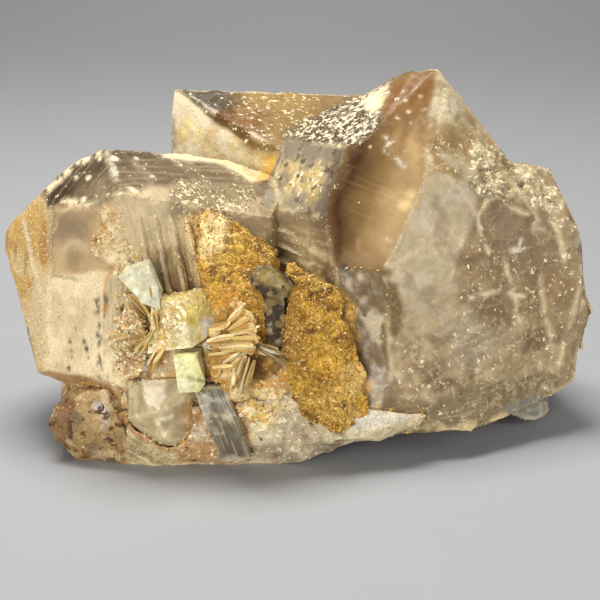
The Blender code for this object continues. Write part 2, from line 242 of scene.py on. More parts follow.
class Surface:
    """A CAD node's shape with finer triangles, to be shaped and coloured, then made into a piece.
    Its edges are the longest ones, where the camera sees them and where it does not. Places are texts
    of AT. Sizes, widths and soft rims of lines and spots are in millimetres, and the soft rim and the
    wobble of an outline are in pixels. A seed picks a pattern of noise."""

    def __init__(self, name, node, colour, edges, **levels):
        points, triangles = cad_triangles(node)
        self.name, self.node = name, node
        self.tree = BVHTree.FromPolygons(points.tolist(), triangles.tolist())
        self.sharp = sharp_edges(points, triangles)
        self.points, self.triangles = subdivided(points, triangles, *edges)
        self.everywhere = np.ones(len(self.points))
        flat = face_normals(self.points, self.triangles)
        self.normals = np.zeros_like(self.points)
        for corner in range(3):
            np.add.at(self.normals, self.triangles[:, corner], flat)
        self.normals /= np.linalg.norm(self.normals, axis=1)[:, None] + 1e-20
        self.pixels = to_pixels(self.points)
        self.facing = (self.normals * (np.array(EYE) - self.points)).sum(1) > 0
        self.moves = np.zeros(len(self.points))
        self.warp = np.zeros_like(self.points)
        self.tint = np.tile(np.array(rgb(*colour)), (len(self.points), 1))
        self.levels = {}
        self.noises = {}
        self.lay(self.everywhere, **levels)

    def noise(self, size, seed, octaves=3):
        """Smooth noise over the surface, kept for the next time it is asked for."""
        key = (size, seed, octaves)
        if key not in self.noises:
            self.noises[key] = waves(self.points, size * MM, seed, octaves)
        return self.noises[key]

    def patchy(self, mask, size, share, seed, soft=0.25):
        """The part of a mask that noise lumps of a size in millimetres cover, as a share of its area."""
        bar = 0.9 - 1.8 * share
        return mask * ramp(self.noise(size, seed), bar * 0.6 - soft, bar * 0.6 + soft)

    def outline(self, place, soft, wobble, seed=5, size=5.0):
        """1 inside an outline, on the side that the camera sees."""
        at = self.pixels + wobble * np.stack([self.noise(size, seed), self.noise(size, seed + 9)], 1)
        inside = np.zeros(len(at), bool)
        distance = np.full(len(at), 1e9)
        ring = np.array(pixels(place))
        for start, end in zip(ring, np.roll(ring, -1, axis=0)):
            run = end - start
            distance = np.minimum(distance, from_line(at, start, end))
            crosses = (start[1] > at[:, 1]) != (end[1] > at[:, 1])
            fall = run[1] if run[1] else 1e-9
            inside ^= crosses & (at[:, 0] < start[0] + (at[:, 1] - start[1]) / fall * run[0])
        signed = np.where(inside, distance, -distance)
        return np.clip(signed / soft + 0.5, 0, 1) * self.facing

    def stroke(self, place, width, soft=0.6, wobble=0.5, seed=7):
        """1 along a line on the surface."""
        spots = [np.array(land(self.tree, px, py)[0]) for px, py in pixels(place)]
        at = self.points + wobble * MM * np.stack([self.noise(3.0, seed + i) for i in range(3)], 1)
        distance = np.full(len(at), 1e9)
        pairs = zip(spots, spots[1:]) if len(spots) > 1 else [(spots[0], spots[0] + 1e-6)]
        for start, end in pairs:
            distance = np.minimum(distance, from_line(at, start, end))
        return np.clip((width / 2 * MM - distance) / (soft * MM) + 0.5, 0, 1)

    def spots(self, place, soft, wobble, seed=11):
        """1 round each spot."""
        mask = np.zeros(len(self.points))
        for px, py, radius in pixels(place):
            mask = np.maximum(mask, self.stroke(f"{px},{py}", radius * 2, soft, wobble, seed))
        return mask

    def area(self, place, soft, wobble, colour=None, share=1.0, **levels):
        """Lay a share of a colour and of levels inside an outline, and give back its mask."""
        return self.lay(self.outline(place, soft, wobble), colour, share, **levels)

    def dots(self, place, soft, wobble, colour, share=1.0, **levels):
        """Lay a colour on spots, and give back their mask."""
        return self.lay(self.spots(place, soft, wobble), colour, share, **levels)

    def patch(self, mask, size, part, seed, colour=None, share=1.0, **levels):
        """Lay a colour on the noise lumps that cover a part of a mask."""
        return self.lay(self.patchy(mask, size, part, seed), colour, share, **levels)

    def line(self, place, width, soft, colour, share=1.0, **levels):
        """Lay a colour along each line of a group."""
        for one in place.split("/"):
            self.lay(self.stroke(one, width, soft), colour, share, **levels)

    def torn_line(self, place, width, soft, size, part, seed, colour, share=1.0, **levels):
        """Lay a colour along each line of a group, where noise lumps cover a part of it."""
        for one in place.split("/"):
            self.patch(self.stroke(one, width, soft), size, part, seed, colour, share, **levels)

    def grooves(self, run, width, seed):
        """Noise drawn out along the line between two pixels, for growth lines and fibres."""
        start, end = pixels(run)
        along = np.array(land(self.tree, *end)[0] - land(self.tree, *start)[0])
        along /= np.linalg.norm(along)
        squeezed = self.points - np.outer(self.points @ along * (1 - 1 / GROOVE_STRETCH), along)
        return waves(squeezed, width * MM, seed, 3)

    def growth_lines(self, mask, run, width, strength, depth, seed):
        """Draw fine lines that run from one pixel towards another: their place for the material's own
        lines, and low relief, in millimetres, for the broad ones."""
        start, end = pixels(run)
        place, normal = land(self.tree, *start)
        along = np.array((land(self.tree, *end)[0] - place).normalized())
        across = np.cross(np.array(normal), along)
        self.place_lines(mask, self.points @ across, self.points @ along, width)
        self.lay(mask, stria=strength)
        self.moves += mask * depth * self.grooves(run, width * 4, seed)

    def place_lines(self, mask, across, along, width):
        """Tell the material how far each point lies across and along the growth lines."""
        inside = mask > 0.01
        self.levels["across"][inside] = across[inside] / (width * MM)
        self.levels["along"][inside] = along[inside] / (width * MM * LINE_STRETCH)

    def lines_round(self, mask, axis, width, strength):
        """Growth lines on each flat face, square to a crystal's long axis."""
        along = np.cross(self.normals, axis)
        along /= np.linalg.norm(along, axis=1)[:, None] + 1e-9
        across = np.cross(self.normals, along)
        self.place_lines(mask, (self.points * across).sum(1), (self.points * along).sum(1), width)
        self.lay(mask * (1 - self.near_edges(2.2)), stria=strength)

    def growth_ridges(self, mask, run, width, depth, pale, dark, seed):
        """Fibres between two pixels, raised and sunk, in two colours."""
        lines = self.grooves(run, width, seed)
        self.lay(mask * ramp(lines, 0.1, 0.5), pale, 0.8)
        self.lay(mask * ramp(-lines, 0.1, 0.5), dark, 0.8)
        self.moves += mask * depth * lines

    def near_edges(self, reach):
        """1 on sharp edges, falling to 0 at a distance in millimetres."""
        away = np.full(len(self.points), 1e9)
        for start, end in self.sharp:
            low, high = np.minimum(start, end) - reach * MM, np.maximum(start, end) + reach * MM
            near = np.flatnonzero(((self.points > low) & (self.points < high)).all(1))
            away[near] = np.minimum(away[near], from_line(self.points[near], start, end))
        return np.clip(1 - away / (reach * MM), 0, 1)

    def lay(self, mask, colour=None, share=1.0, **levels):
        """Blend a colour, and named levels such as how clear the surface is, in by a share of a mask."""
        strength = mask * share
        if colour is not None:
            self.tint += (np.array(rgb(*colour)) - self.tint) * strength[:, None]
        for name, level in levels.items():
            held = self.levels.setdefault(name, np.zeros(len(self.points)))
            held += (level - held) * strength
        return mask

    def moved(self):
        """The points after all moves, which are in millimetres."""
        return self.points + self.normals * (self.moves * MM)[:, None] + self.warp * MM

    def wander(self, size, depth, seed):
        """Shift the whole surface to and fro, so that its rim is uneven."""
        self.warp += depth * np.stack([self.noise(size, seed + axis) for axis in range(3)], 1)

    def beside(self, other, reach):
        """1 where another surface touches, falling to 0 at a distance in millimetres."""
        limit = reach * MM
        gaps = (other.tree.find_nearest(point, limit)[3] for point in self.points)
        away = np.array([limit if gap is None else gap for gap in gaps])
        return np.clip(1 - away / limit, 0, 1)

    def finish(self, material, slot, smooth_angle=32.0):
        """Write the moved points, the colours and the levels, and hang the piece in its CAD node's place."""
        mesh = coloured_mesh(self.name, self.moved(), self.triangles, self.tint)
        for name, values in self.levels.items():
            layer = mesh.attributes.new(name, "FLOAT", "POINT")
            layer.data.foreach_set("value", values.astype(np.float32))
        return hang(self.name, mesh, material, self.node, smooth_angle)


def sharp_edges(points, triangles):
    """The ends of the edges at which a shape's surface turns."""
    normals = face_normals(points, triangles)
    normals /= np.linalg.norm(normals, axis=1)[:, None] + 1e-20
    first_face = {}
    sharp = []
    for index, key in enumerate(edge_keys(triangles, len(points)).tolist()):
        face = index % len(triangles)
        if key in first_face and normals[face] @ normals[first_face[key]] < SHARP:
            sharp.append((points[key // len(points)], points[key % len(points)]))
        first_face[key] = face
    return sharp


def coloured_mesh(name, points, triangles, tint):
    mesh = bpy.data.meshes.new(name)
    mesh.from_pydata(points.tolist(), [], triangles.tolist())
    layer = mesh.attributes.new("tint", "FLOAT_VECTOR", "POINT")
    layer.data.foreach_set("vector", np.clip(tint, 0, 1).astype(np.float32).ravel())
    return mesh


def hang(name, mesh, material, node, smooth_angle):
    """Make the object, ride it on the frame, and let it stand for its CAD node."""
    mesh.materials.clear()
    mesh.materials.append(material)
    mesh.shade_smooth()
    mesh.set_sharp_from_angle(angle=math.radians(smooth_angle))
    mesh.update()
    piece = bpy.data.objects.new(name, mesh)
    bpy.context.scene.collection.objects.link(piece)
    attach(piece, "root")
    if node:
        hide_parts(node)
    return piece


# ---------------------------------------------------------------- material building

class Recipe:
    """A node material under construction."""

    def __init__(self, name):
        self.material = bpy.data.materials.new(name)
        self.material.use_nodes = True
        self.tree = self.material.node_tree
        self.shader = self.tree.nodes["Principled BSDF"]
        self.output = self.tree.nodes["Material Output"]
        self.place = self.node("ShaderNodeTexCoord").outputs["Object"]

    def node(self, kind, inputs=(), **settings):
        made = self.tree.nodes.new(kind)
        for name, value in settings.items():
            setattr(made, name, value)
        for key, value in dict(inputs).items():
            self.put(made.inputs[key], value)
        return made

    def put(self, socket, value):
        if isinstance(value, bpy.types.NodeSocket):
            self.tree.links.new(value, socket)
        else:
            socket.default_value = value

    def level(self, name):
        return self.node("ShaderNodeAttribute", attribute_name=name).outputs["Fac"]

    def tint(self):
        return self.node("ShaderNodeAttribute", attribute_name="tint").outputs["Vector"]

    def grain(self, size, detail=4.0, rough=0.55):
        """Noise with lumps of a size in millimetres, from about 0.3 to 0.7."""
        inputs = {"Vector": self.place, "Scale": 1 / (size * MM), "Detail": detail, "Roughness": rough}
        return self.node("ShaderNodeTexNoise", inputs).outputs["Fac"]

    def above(self, noise, level, reach, low, high, bar):
        """1 where noise passes a bar, which the surface's level, from 0 to 1, lowers by up to a reach."""
        lowered = self.minus(bar, self.times(self.level(level), reach))
        return self.between(self.minus(noise, lowered), low, high)

    def math(self, operation, a, b=0.0):
        return self.node("ShaderNodeMath", {0: a, 1: b}, operation=operation).outputs[0]

    def plus(self, a, b):
        return self.math("ADD", a, b)

    def minus(self, a, b):
        return self.math("SUBTRACT", a, b)

    def times(self, a, b):
        return self.math("MULTIPLY", a, b)

    def most(self, a, b):
        return self.math("MAXIMUM", a, b)

    def between(self, value, low, high, to_low=0.0, to_high=1.0):
        return self.node("ShaderNodeMapRange", {0: value, 1: low, 2: high, 3: to_low, 4: to_high},
                         interpolation_type="SMOOTHSTEP").outputs[0]

    def mix(self, share, a, b):
        made = self.node("ShaderNodeMix", {"Factor": share}, data_type="RGBA")
        self.put(made.inputs[6], a)
        self.put(made.inputs[7], b)
        return made.outputs[2]

    def scaled(self, colour, factor):
        made = self.node("ShaderNodeVectorMath", {0: colour}, operation="SCALE")
        self.put(made.inputs["Scale"], factor)
        return made.outputs[0]

    def bump(self, *layers):
        """Bumps stacked from (height, depth in millimetres, strength)."""
        normal = None
        for height, depth, strength in layers:
            inputs = {"Height": height, "Distance": depth * MM, "Strength": strength}
            if normal:
                inputs["Normal"] = normal
            normal = self.node("ShaderNodeBump", inputs).outputs["Normal"]
        self.put(self.shader.inputs["Normal"], normal)

    def set(self, **sockets):
        for name, value in sockets.items():
            self.put(self.shader.inputs[name.replace("_", " ")], value)


def quartz_material():
    """Smoky quartz: clear brown where it is bare, with rough growth lines, films, veins and coatings."""
    r = Recipe("smoky_quartz")
    fine = r.grain(0.5, 5.0)
    middle = r.grain(2.2, 5.0)
    broad = r.grain(9.0, 5.0)
    lines_at = r.node("ShaderNodeCombineXYZ", {"X": r.level("across"), "Y": r.level("along")}).outputs[0]
    lines = r.node("ShaderNodeTexNoise", {"Vector": lines_at, "Scale": 1.0, "Detail": 5.0}).outputs["Fac"]
    stria = r.level("stria")

    def crisp(level, pattern, reach, low, high):
        """Where a level and a pattern together pass a bar: a patch with a broken, sharp rim."""
        lifted = r.times(r.minus(pattern, 0.5), reach)
        return r.between(r.plus(level, lifted), low, high)

    coated = crisp(r.level("coat"), middle, 1.6, 0.38, 0.62)
    film = crisp(r.level("film"), broad, 1.6, 0.46, 0.54)
    rust = crisp(r.level("rust"), middle, 1.6, 0.47, 0.57)
    specks = r.above(r.grain(1.3, 6.0, 0.7), "speck", 0.26, -0.02, 0.03, bar=0.74)
    vein_at = r.math("ABSOLUTE", r.minus(r.grain(7.0, 4.0, 0.6), 0.5))
    thread_at = r.math("ABSOLUTE", r.minus(r.grain(1.8, 5.0, 0.65), 0.5))
    threads = r.times(r.between(thread_at, 0.03, 0.01), r.between(middle, 0.5, 0.6))
    long_veins = r.times(r.between(vein_at, 0.014, 0.004), r.between(middle, 0.42, 0.52))
    veins = r.times(r.most(long_veins, threads), r.level("vein"))

    opaque = r.most(coated, specks)
    for cover in (film, rust, veins):
        opaque = r.most(opaque, cover)
    depth = r.between(opaque, 0.0, 1.0, 0.25, 0.9)
    shade = r.plus(1.0, r.times(r.minus(fine, 0.5), depth))
    shade = r.times(shade, r.between(broad, 0.3, 0.7, 0.88, 1.12))
    body = r.scaled(r.tint(), shade)
    streaks = r.times(stria, r.between(lines, 0.52, 0.66))
    body = r.mix(r.times(streaks, 0.45), body, rgba(214, 196, 158))
    furrows = r.times(stria, r.between(lines, 0.5, 0.36))
    body = r.mix(r.times(furrows, 0.35), body, rgba(86, 70, 50))
    body = r.mix(film, body, r.scaled(rgb(206, 186, 146), shade))
    body = r.mix(rust, body, r.scaled(rgb(164, 116, 66), shade))
    body = r.mix(r.times(veins, 0.72), body, rgba(208, 192, 154))
    body = r.mix(specks, body, rgba(228, 214, 178))

    bare = r.minus(1.0, opaque)
    through = r.times(r.level("clear"), bare)
    gloss = r.between(middle, 0.35, 0.65, 0.12, 0.34)
    gloss = r.plus(gloss, r.times(r.level("etch"), 0.3))
    roughness = r.plus(r.times(gloss, bare), r.times(opaque, 0.68))
    r.set(Base_Color=body, Roughness=roughness, Transmission_Weight=through, IOR=QUARTZ_IOR,
          Specular_IOR_Level=0.22)
    r.bump((lines, 0.25, r.times(stria, 0.9)),
           (middle, 0.35, r.between(r.level("etch"), 0.0, 1.0, 0.12, 0.9)),
           (fine, 0.12, r.between(opaque, 0.0, 1.0, 0.12, 0.9)))
    smoke = r.node("ShaderNodeVolumeAbsorption", {"Color": rgba(206, 150, 90), "Density": SMOKE_DENSITY})
    r.tree.links.new(smoke.outputs["Volume"], r.output.inputs["Volume"])
    return r.material


def rock_material(name, speck_colour, pit_colour, roughness, grain_size, bump=1.0):
    """A mineral surface: its own tint, broken up by grains, paler specks and darker pits."""
    r = Recipe(name)
    fine = r.grain(grain_size * 0.4, 5.0, 0.6)
    middle = r.grain(grain_size, 5.0)
    cells = r.node("ShaderNodeTexVoronoi", {"Vector": r.place, "Scale": 1 / (grain_size * MM)})
    each = r.node("ShaderNodeSeparateColor", {0: cells.outputs["Color"]}).outputs[0]
    shade = r.times(r.between(fine, 0.3, 0.7, 0.75, 1.2), r.between(each, 0.0, 1.0, 0.86, 1.12))
    body = r.scaled(r.tint(), shade)
    specks = r.above(middle, "speck", 0.24, -0.02, 0.04, bar=0.72)
    body = r.mix(specks, body, rgba(*speck_colour))
    pits = r.above(r.grain(grain_size * 1.7, 4.0, 0.65), "pits", 0.24, -0.01, 0.05, bar=0.74)
    body = r.mix(pits, body, rgba(*pit_colour))
    low, high = roughness
    r.set(Base_Color=body, Roughness=r.between(middle, 0.35, 0.65, low, high), IOR=FELDSPAR_IOR,
          Specular_IOR_Level=0.3)
    r.bump((cells.outputs["Distance"], grain_size * 0.25, 0.5 * bump),
           (middle, grain_size * 0.3, 0.6 * bump),
           (pits, -0.3, 0.8 * bump), (fine, grain_size * 0.12, 0.7 * bump))
    return r.material


# ---------------------------------------------------------------- places of the markings

class AT:
    """Where the markings and blades lie, in the frame's pixels: outlines, lines and runs as x,y and spots
    as x,y and a radius in millimetres. A slash parts the lines of a group. A run is the two places that
    growth lines lead from and to."""

    # The left crystal
    orange_stains = "97,246 103,236 107,226 / 105,258 107,285 106,312 / 109,272 117,268"
    cream_arc = "106,216 120,222 106,236 99,246 112,258 128,262 140,270 126,250 112,238"
    end_face = "45,187 22,208 3,234 3,247 14,279 30,336 38,372 45,369 46,347 51,283 51,238 56,232 50,204"
    end_face_low = "24,300 51,262 47,345 45,369 38,365"
    end_face_ridge = "24,222 33,262 42,300"
    end_face_edge = "50,207 56,232 51,248"
    left_top = ("43,189 62,171 96,150 138,149 189,154 228,161 252,174 262,190 200,190 120,195 98,206 "
                "80,210 62,215 50,205")
    left_top_run = "70,206 210,160"
    left_top_dark = "44,190 70,165 96,151 170,155 120,168 84,186 66,212 50,205"
    left_corner = "46,189 60,178 72,188 62,212 50,206"
    left_top_edge = "48,189 64,174 82,160 96,153"
    left_shoulder = "62,205 84,208 96,212 112,200"
    shards = ("120,196,0.9 133,190,1.3 152,176,0.7 88,176,0.8 100,158,0.7 115,159,0.9 76,178,0.7 "
              "136,158,0.6 172,160,0.6 84,199,0.8")
    amber_chip = "130,195,1.0"
    smoky_front = "53,208 105,203 142,198 142,250 105,274 52,276"
    smoky_patch = "53,212 92,214 88,240 54,244"
    round_mark = "74,259,2.4"
    round_mark_rim = "64,250 70,243 80,243 88,250"
    beige_front = "47,274 105,272 143,262 152,300 128,330 128,386 93,379 43,371"
    beige_run = "82,290 83,368"
    dark_column = "104,300 105,330 107,384"
    column_run = "104,290 106,384"
    thin_column = "96,300 98,340 99,380"
    black_specks = ("70,340,0.4 71,350,0.3 72,356,0.3 84,342,0.6 87,349,0.6 88,357,0.3 69,369,0.6 "
                    "76,330,0.2 73,322,0.2 92,310,0.2 60,318,0.2 98,334,0.3")
    front_edge = "51,275 63,277 78,280"
    under_face = "36,371 75,373 93,379 125,388 122,402 71,397 46,381"
    under_run = "52,380 100,392"
    rust_spots = "104,224,1.0 98,240,1.1 93,243,0.7"
    red_spot = "139,244,0.8"
    fibre_strip = "107,276 126,274 126,330 108,330"
    strip_run = "116,282 117,326"
    prism = "116,196 150,186 210,186 262,196 264,250 212,304 165,306 140,262 118,250"
    prism_brown = "142,249 161,246 181,246 193,250 210,300 193,304 173,309 163,272"
    prism_run = "150,212 178,300"
    crumb_area = "168,188 253,186 256,206 225,224 200,216 168,216"
    bare_patch = "226,204 262,203 262,234 226,226"
    cream_patch = "181,216 204,214 206,250 190,250"
    brown_line = "244,234 252,240 247,250"

    # The back crystal
    back_beige = "170,87 194,103 222,125 256,148 281,150 272,167 267,180 253,181 219,163 164,158"
    ochre_corner = "262,152 281,150 277,178 258,182"
    back_edge = "173,120 174,146"
    back_top = "170,80 362,90 384,82 299,129 286,137 281,151 256,149 222,126 194,104"
    back_top_tan = "236,82 374,86 345,106 299,130 284,152 250,150"
    back_top_brown = "214,112 264,108 270,132 252,144 226,126"
    back_top_end = "310,84 384,82 340,108 316,112"

    # The main crystal
    cream_streaks = "266,236 296,244 330,260 / 272,252 300,262 334,276 / 282,272 310,276 334,286"
    pale_cracks = "388,268 402,262 424,248 / 448,176 462,190 474,212"
    speckled_face = "286,136 346,149 363,142 372,136 378,125 384,103 392,92 391,82 369,88 342,103 299,125"
    speckled_run = "310,140 370,100"
    cream_tip = "362,98 391,82 390,94 378,112 366,110"
    grey_face = "284,137 346,148 340,168 328,217 293,213 259,206 269,180"
    cream_cover = "280,166 300,156 330,168 330,186 322,200 296,206 276,192"
    striated_face = "258,205 326,217 336,266 344,302 327,292 314,281 285,284 271,254 256,220"
    striated_run = "268,222 324,246"
    striated_top = "256,206 326,217 329,232 262,220"
    pale_face = "382,272 398,247 422,186 431,110 437,64 457,88 487,128 477,220 461,251 458,332 398,338"
    pale_middle = "430,168 468,168 478,214 452,290 400,300 396,262 416,210"
    apex_patch = "434,90 450,88 466,112 452,122 438,134 428,114"
    tan_band = "424,112 440,136 482,124 500,160 470,176 424,164"
    window_seam = "428,163 421,188 408,221 400,240 386,268"
    seam_shade = "426,170 417,206 404,228"
    curved_crack = "474,212 470,226 463,240 457,262 450,276"
    dark_lower = "335,267 386,269 404,300 398,372 361,361 352,345 342,306"
    white_flake = "372,320,2.6 377,333,2.2 364,300,1.2"
    small_flakes = "349,284,0.9 362,276,0.9 395,276,1.6"
    dark_dots = "344,268,0.9 350,272,0.7"

    # The window into the main crystal
    star_cracks = ("384,136 390,150 400,166 / 386,146 396,142 403,152 / 392,152 398,160 404,166 / "
                   "382,150 394,158")
    forked_crack = "388,240 394,252 / 388,240 398,244"
    window_veils = "420,100 410,120 400,150 / 434,92 424,118 418,140"
    window = ("372,134 346,147 335,180 327,214 328,236 335,269 384,273 398,249 409,221 423,186 430,160 "
              "433,110 439,64 400,71 391,82 391,95 384,103 378,125")
    window_painted_shade = "380,122 345,143 322,214 330,276 352,272 352,236 358,190 372,160"
    # painted shade at the window's dark left edge, and painted light where light shines through its pale
    # right part
    window_top = "384,90 436,62 434,100 384,116"
    window_painted_light = "430,120 424,190 398,250 386,268 364,262 378,225 398,180 404,130"
    window_glow = "396,224,3.0 392,200,2.4"
    window_glints = "407,205,1.6 411,194,1.2"
    window_foot = "342,250 366,246 390,256 384,273 336,271"
    window_streaks = "345,165 372,165 404,205 390,232 340,215"
    window_run = "340,172 400,196"
    curl = "357,240 359,250 366,255"
    window_specks = ("397,99,0.5 403,92,0.4 398,118,0.5 409,112,0.5 411,124,0.5 425,110,0.5 420,95,0.4 "
                     "370,147,0.4 360,142,0.4 406,101,0.4")

    # The lobe on the right
    lobe_cracks = ("487,200 478,216 484,246 496,262 / 505,262 516,300 520,330 / 534,205 556,226 566,262 "
                   "/ 470,300 500,290 530,300")
    lobe = "474,126 520,155 560,175 588,300 574,405 535,400 470,432 398,425 396,336 455,330 461,251 477,220"
    lobe_upper = "470,190 517,196 556,214 580,300 560,330 500,320 470,270"
    lobe_pale = "440,330 470,310 500,330 484,372 446,366"
    shoulder_band = ("468,140 500,150 508,162 532,169 547,166 554,181 570,230 558,218 545,209 517,196 "
                     "486,200 470,190")
    under_band = "490,202 518,198 548,214 556,250 500,250 484,220"
    bubble_rim = "521,185,1.3"
    bubble = "521,185,0.7"
    # the bubble's dark middle is painted shade inside its pit
    bubble_pit = "521,185,0.8"
    lobe_glints = "520,245,1.5 516,253,1.3"
    lobe_foot = "352,421 408,402 470,384 566,368 560,400 500,425 430,434 352,440"
    foot_run = "400,416 500,390"
    foot_rim = "392,428 440,421 480,424 528,404 534,412 490,440 392,444"
    grey_tip = "502,408 520,400 541,394 552,400 550,412 545,420 518,426"
    grey_tip_edge = "541,400 540,418"
    lobe_smear = "396,300 450,290 520,330 500,385 430,392 398,372"
    smear_run = "410,380 480,340"

    # The low crystals
    lump_cracks = "162,388 158,404 / 160,420 171,417 / 150,404 160,426 166,436"
    glassy_lump = "122,418 128,392 150,374 198,378 208,412 198,442 172,454 133,437"
    # painted highlight on the glassy lump's top facet
    lump_painted_highlight = "140,374 164,374 168,396 158,408 146,402"
    lump_rust = "186,396 206,392 208,440 184,446"
    striated_block = "186,380 234,382 256,466 214,470"
    block_run = "202,392 226,452"

    # The whole quartz
    window_and_rim = "345,147 391,80 400,69 445,58 436,110 430,164 400,250 386,276 335,272 324,214"
    ochre_stain = ("196,218 240,228 258,250 264,272 288,272 334,286 352,310 352,345 354,372 368,392 "
                   "358,414 330,404 280,340 256,330 206,312")
    crust_halo = "318,290 336,314 346,345 351,372 364,398"
    hollow_by_fan = "246,344 294,346 298,388 250,386"

    # The rock
    knob = "45,425 60,395 120,392 132,430 124,468 45,460"
    # painted shade on the knob's left side
    knob_painted_shade = "44,420 64,398 72,440 66,466 44,460"
    knob_pits = "75,418,2.0 92,448,2.0 70,434,1.6"
    knob_white = "102,408,1.4 106,420,0.8"
    rust_dots = "120,402,0.9 90,389,0.8 126,418,0.8 66,446,0.8"
    shell = "126,424 142,438 180,456 176,470 128,470"
    shell_run = "134,434 172,456"
    rusty_patch = "180,440 222,438 224,462 176,462"
    rusty_spots = "188,432,1.8 196,418,1.2 190,402,1.2"
    pale_rock = "226,384 300,378 345,400 352,440 300,462 236,464"
    rock_crusts = "226,378 262,372 286,382 280,400 266,426 238,422 226,400"
    cream_dot = "291,404,1.9"
    # the hole's dark spot is painted shade inside the pit
    hole = "326,417,1.0"
    hole_pit = "326,417,0.9"
    ledge = "348,420 361,410 376,404 420,400 420,432 392,446 344,448"
    ledge_pale = "352,421 362,412 378,407 410,404 410,418 380,426 356,432"
    rock_rim = "108,256 160,262 170,312 160,380 118,384 112,330"
    cavity = "245,352 272,344 284,368 262,382 246,378"
    below_block = "150,352 216,350 256,380 292,378 294,388 214,388 150,384"
    rock_hollow = "246,344 294,346 298,386 250,384"

    # The crusts and loose grains
    crust_cream = "196,214 232,214 226,250 204,262"
    crust_left_low = "204,290 256,285 276,345 240,345"
    crust_right_pale = "340,362 366,362 366,394 346,392"
    crust_right_dark = "284,300 300,296 300,380 284,360"
    ochre_spread = ("200,222 240,232 256,252 262,272 286,274 330,288 350,310 350,372 364,392 356,410 "
                    "330,400 280,330 256,320 212,306")
    ochre_left_part = "184,214 212,210 214,300 196,300"
    crumb_scatter = "168,188 253,186 256,206 225,224 168,216"
    band_scatter = "468,140 508,160 552,176 568,228 517,197 486,200"
    window_whole = "372,134 391,82 400,71 437,64 433,110 430,160 384,273"
    left_scatter = "118,262 150,264 150,300 126,300"
    rock_scatter = "110,256 170,262 216,350 256,380 292,378 300,410 250,418 214,388 118,384"

    # The small minerals
    stalk_head = "250,272 262,268 276,270 284,283 294,288 286,292 264,284"
    stalk_dark = "273,294,1.6 281,296,1.0"
    main_blades = ("226,326 246,306 / 228,329 252,313 / 230,331 256,321 / 229,335 257,330 / "
                   "226,339 258,338 / 222,344 256,344 / 220,348 254,348 / 222,352 250,351 / "
                   "222,358 246,352 / 224,364 242,355 / 227,369 240,358 / 244,354 234,382 / "
                   "249,357 238,394 / 254,360 246,386 / 236,360 232,388 / 210,330 234,322 / "
                   "208,342 236,337 / 209,355 234,354 / 213,368 236,366")
    olive_blades = "256,344 282,352 / 258,348 280,360 / 262,350 290,366"
    side_blades = ("146,318 128,304 / 148,314 134,294 / 150,310 142,288 / 146,322 126,316 / "
                   "146,326 127,330 / 148,332 130,344 / 152,334 138,356 / 156,330 150,306 / "
                   "160,344 146,370 / 166,346 154,362")
    block_top = "160,306 222,298 224,316 160,320"
    block_pale = "209,326,2.2"
    block_left_rim = "156,296 180,304 176,350 152,352"
    block_top_rim = "160,296 226,290 224,306 164,310"
    cube_crack = "188,377 212,377"
    cube_dots = "206,354,0.9 212,372,0.8"


# ---------------------------------------------------------------- the quartz

SMOKE_DARK = (70, 57, 43)
SMOKE = (112, 93, 69)
SMOKE_PALE = (160, 141, 114)
CREAM = (228, 211, 172)
BLACK_STAIN = (52, 46, 40)
CRYSTALS_PART = -4.0         # the left crystal lies left of this, in millimetres
LEFT_AXIS = (0.98, 0.1, 0.16)        # the long axes of the left and the main crystal
MAIN_AXIS = (0.2, 0.25, 0.95)


def quartz():
    """All the grown-together quartz. Its levels say where it is coated, clear, specked, etched, lined
    (stria) or veined, and where a film or rust lies on it."""
    q = Surface("smoky_quartz_crystals", "quartz", SMOKE, edges=(1.0, 2.2), coat=0.0, clear=0.2,
                speck=0.35, etch=0.25, stria=0.0, across=0.0, along=0.0, film=0.0, rust=0.0, vein=0.0)
    hidden = 1.0 - q.facing
    q.patch(q.everywhere, 26, 0.35, 3, SMOKE_PALE)
    q.patch(q.everywhere, 17, 0.25, 8, SMOKE_DARK)
    q.lay(hidden, film=0.36, rust=0.2, vein=0.5)
    q.levels["film"] += 0.3 * q.noise(24, 5) * hidden
    q.levels["rust"] += 0.24 * q.noise(14, 15) * hidden
    leftward = (q.points[:, 0] < CRYSTALS_PART * MM)[:, None]
    q.lines_round(hidden, np.where(leftward, LEFT_AXIS, MAIN_AXIS), 0.9, 0.55)
    left_crystal(q)
    back_crystal(q)
    main_crystal(q)
    right_lobe(q)
    low_crystals(q)
    crust_stain(q)
    worn_edges(q)
    q.moves += 0.12 * q.noise(2.0, 41) * (0.3 + q.levels["etch"])
    q.moves += 0.16 * np.abs(q.noise(1.1, 43)) * q.levels["coat"]
    q.finish(quartz_material(), "smoky_quartz", smooth_angle=20.0)
    return q


def worn_edges(q):
    """The crystals' edges are chipped and rubbed pale."""
    edge = q.near_edges(1.3)
    glass = q.outline(AT.window_and_rim, 6, 3)
    chips = q.patchy(edge, 4, 0.5, 51) * (1 - 0.9 * glass)
    q.moves -= 0.55 * chips * (0.6 + 0.4 * q.noise(1.5, 52))
    q.lay(chips, CREAM, 0.5, coat=0.4)


def crust_stain(q):
    """Thin ochre crust on the quartz, reaching past the thick crusts and thinning out."""
    stain = q.outline(AT.ochre_stain, 16, 9, 6, 3.0)
    stain = q.patchy(stain, 2.5, 0.75, 54)
    halo = q.stroke(AT.crust_halo, 2.4, 1.4, 0.8)
    q.patch(halo, 2.0, 0.75, 57, (198, 180, 138), coat=1.0)
    hollow = q.area(AT.hollow_by_fan, 6, 4, (138, 98, 44), coat=1.0, clear=0.0)
    q.patch(hollow, 2.0, 0.35, 58, (190, 146, 70))
    q.patch(hollow, 1.6, 0.2, 59, (72, 50, 26))
    q.lay(stain, (202, 160, 84), coat=1.0, clear=0.0, speck=0.3)
    q.moves += 0.35 * stain * (0.4 + np.abs(q.noise(1.4, 55)))


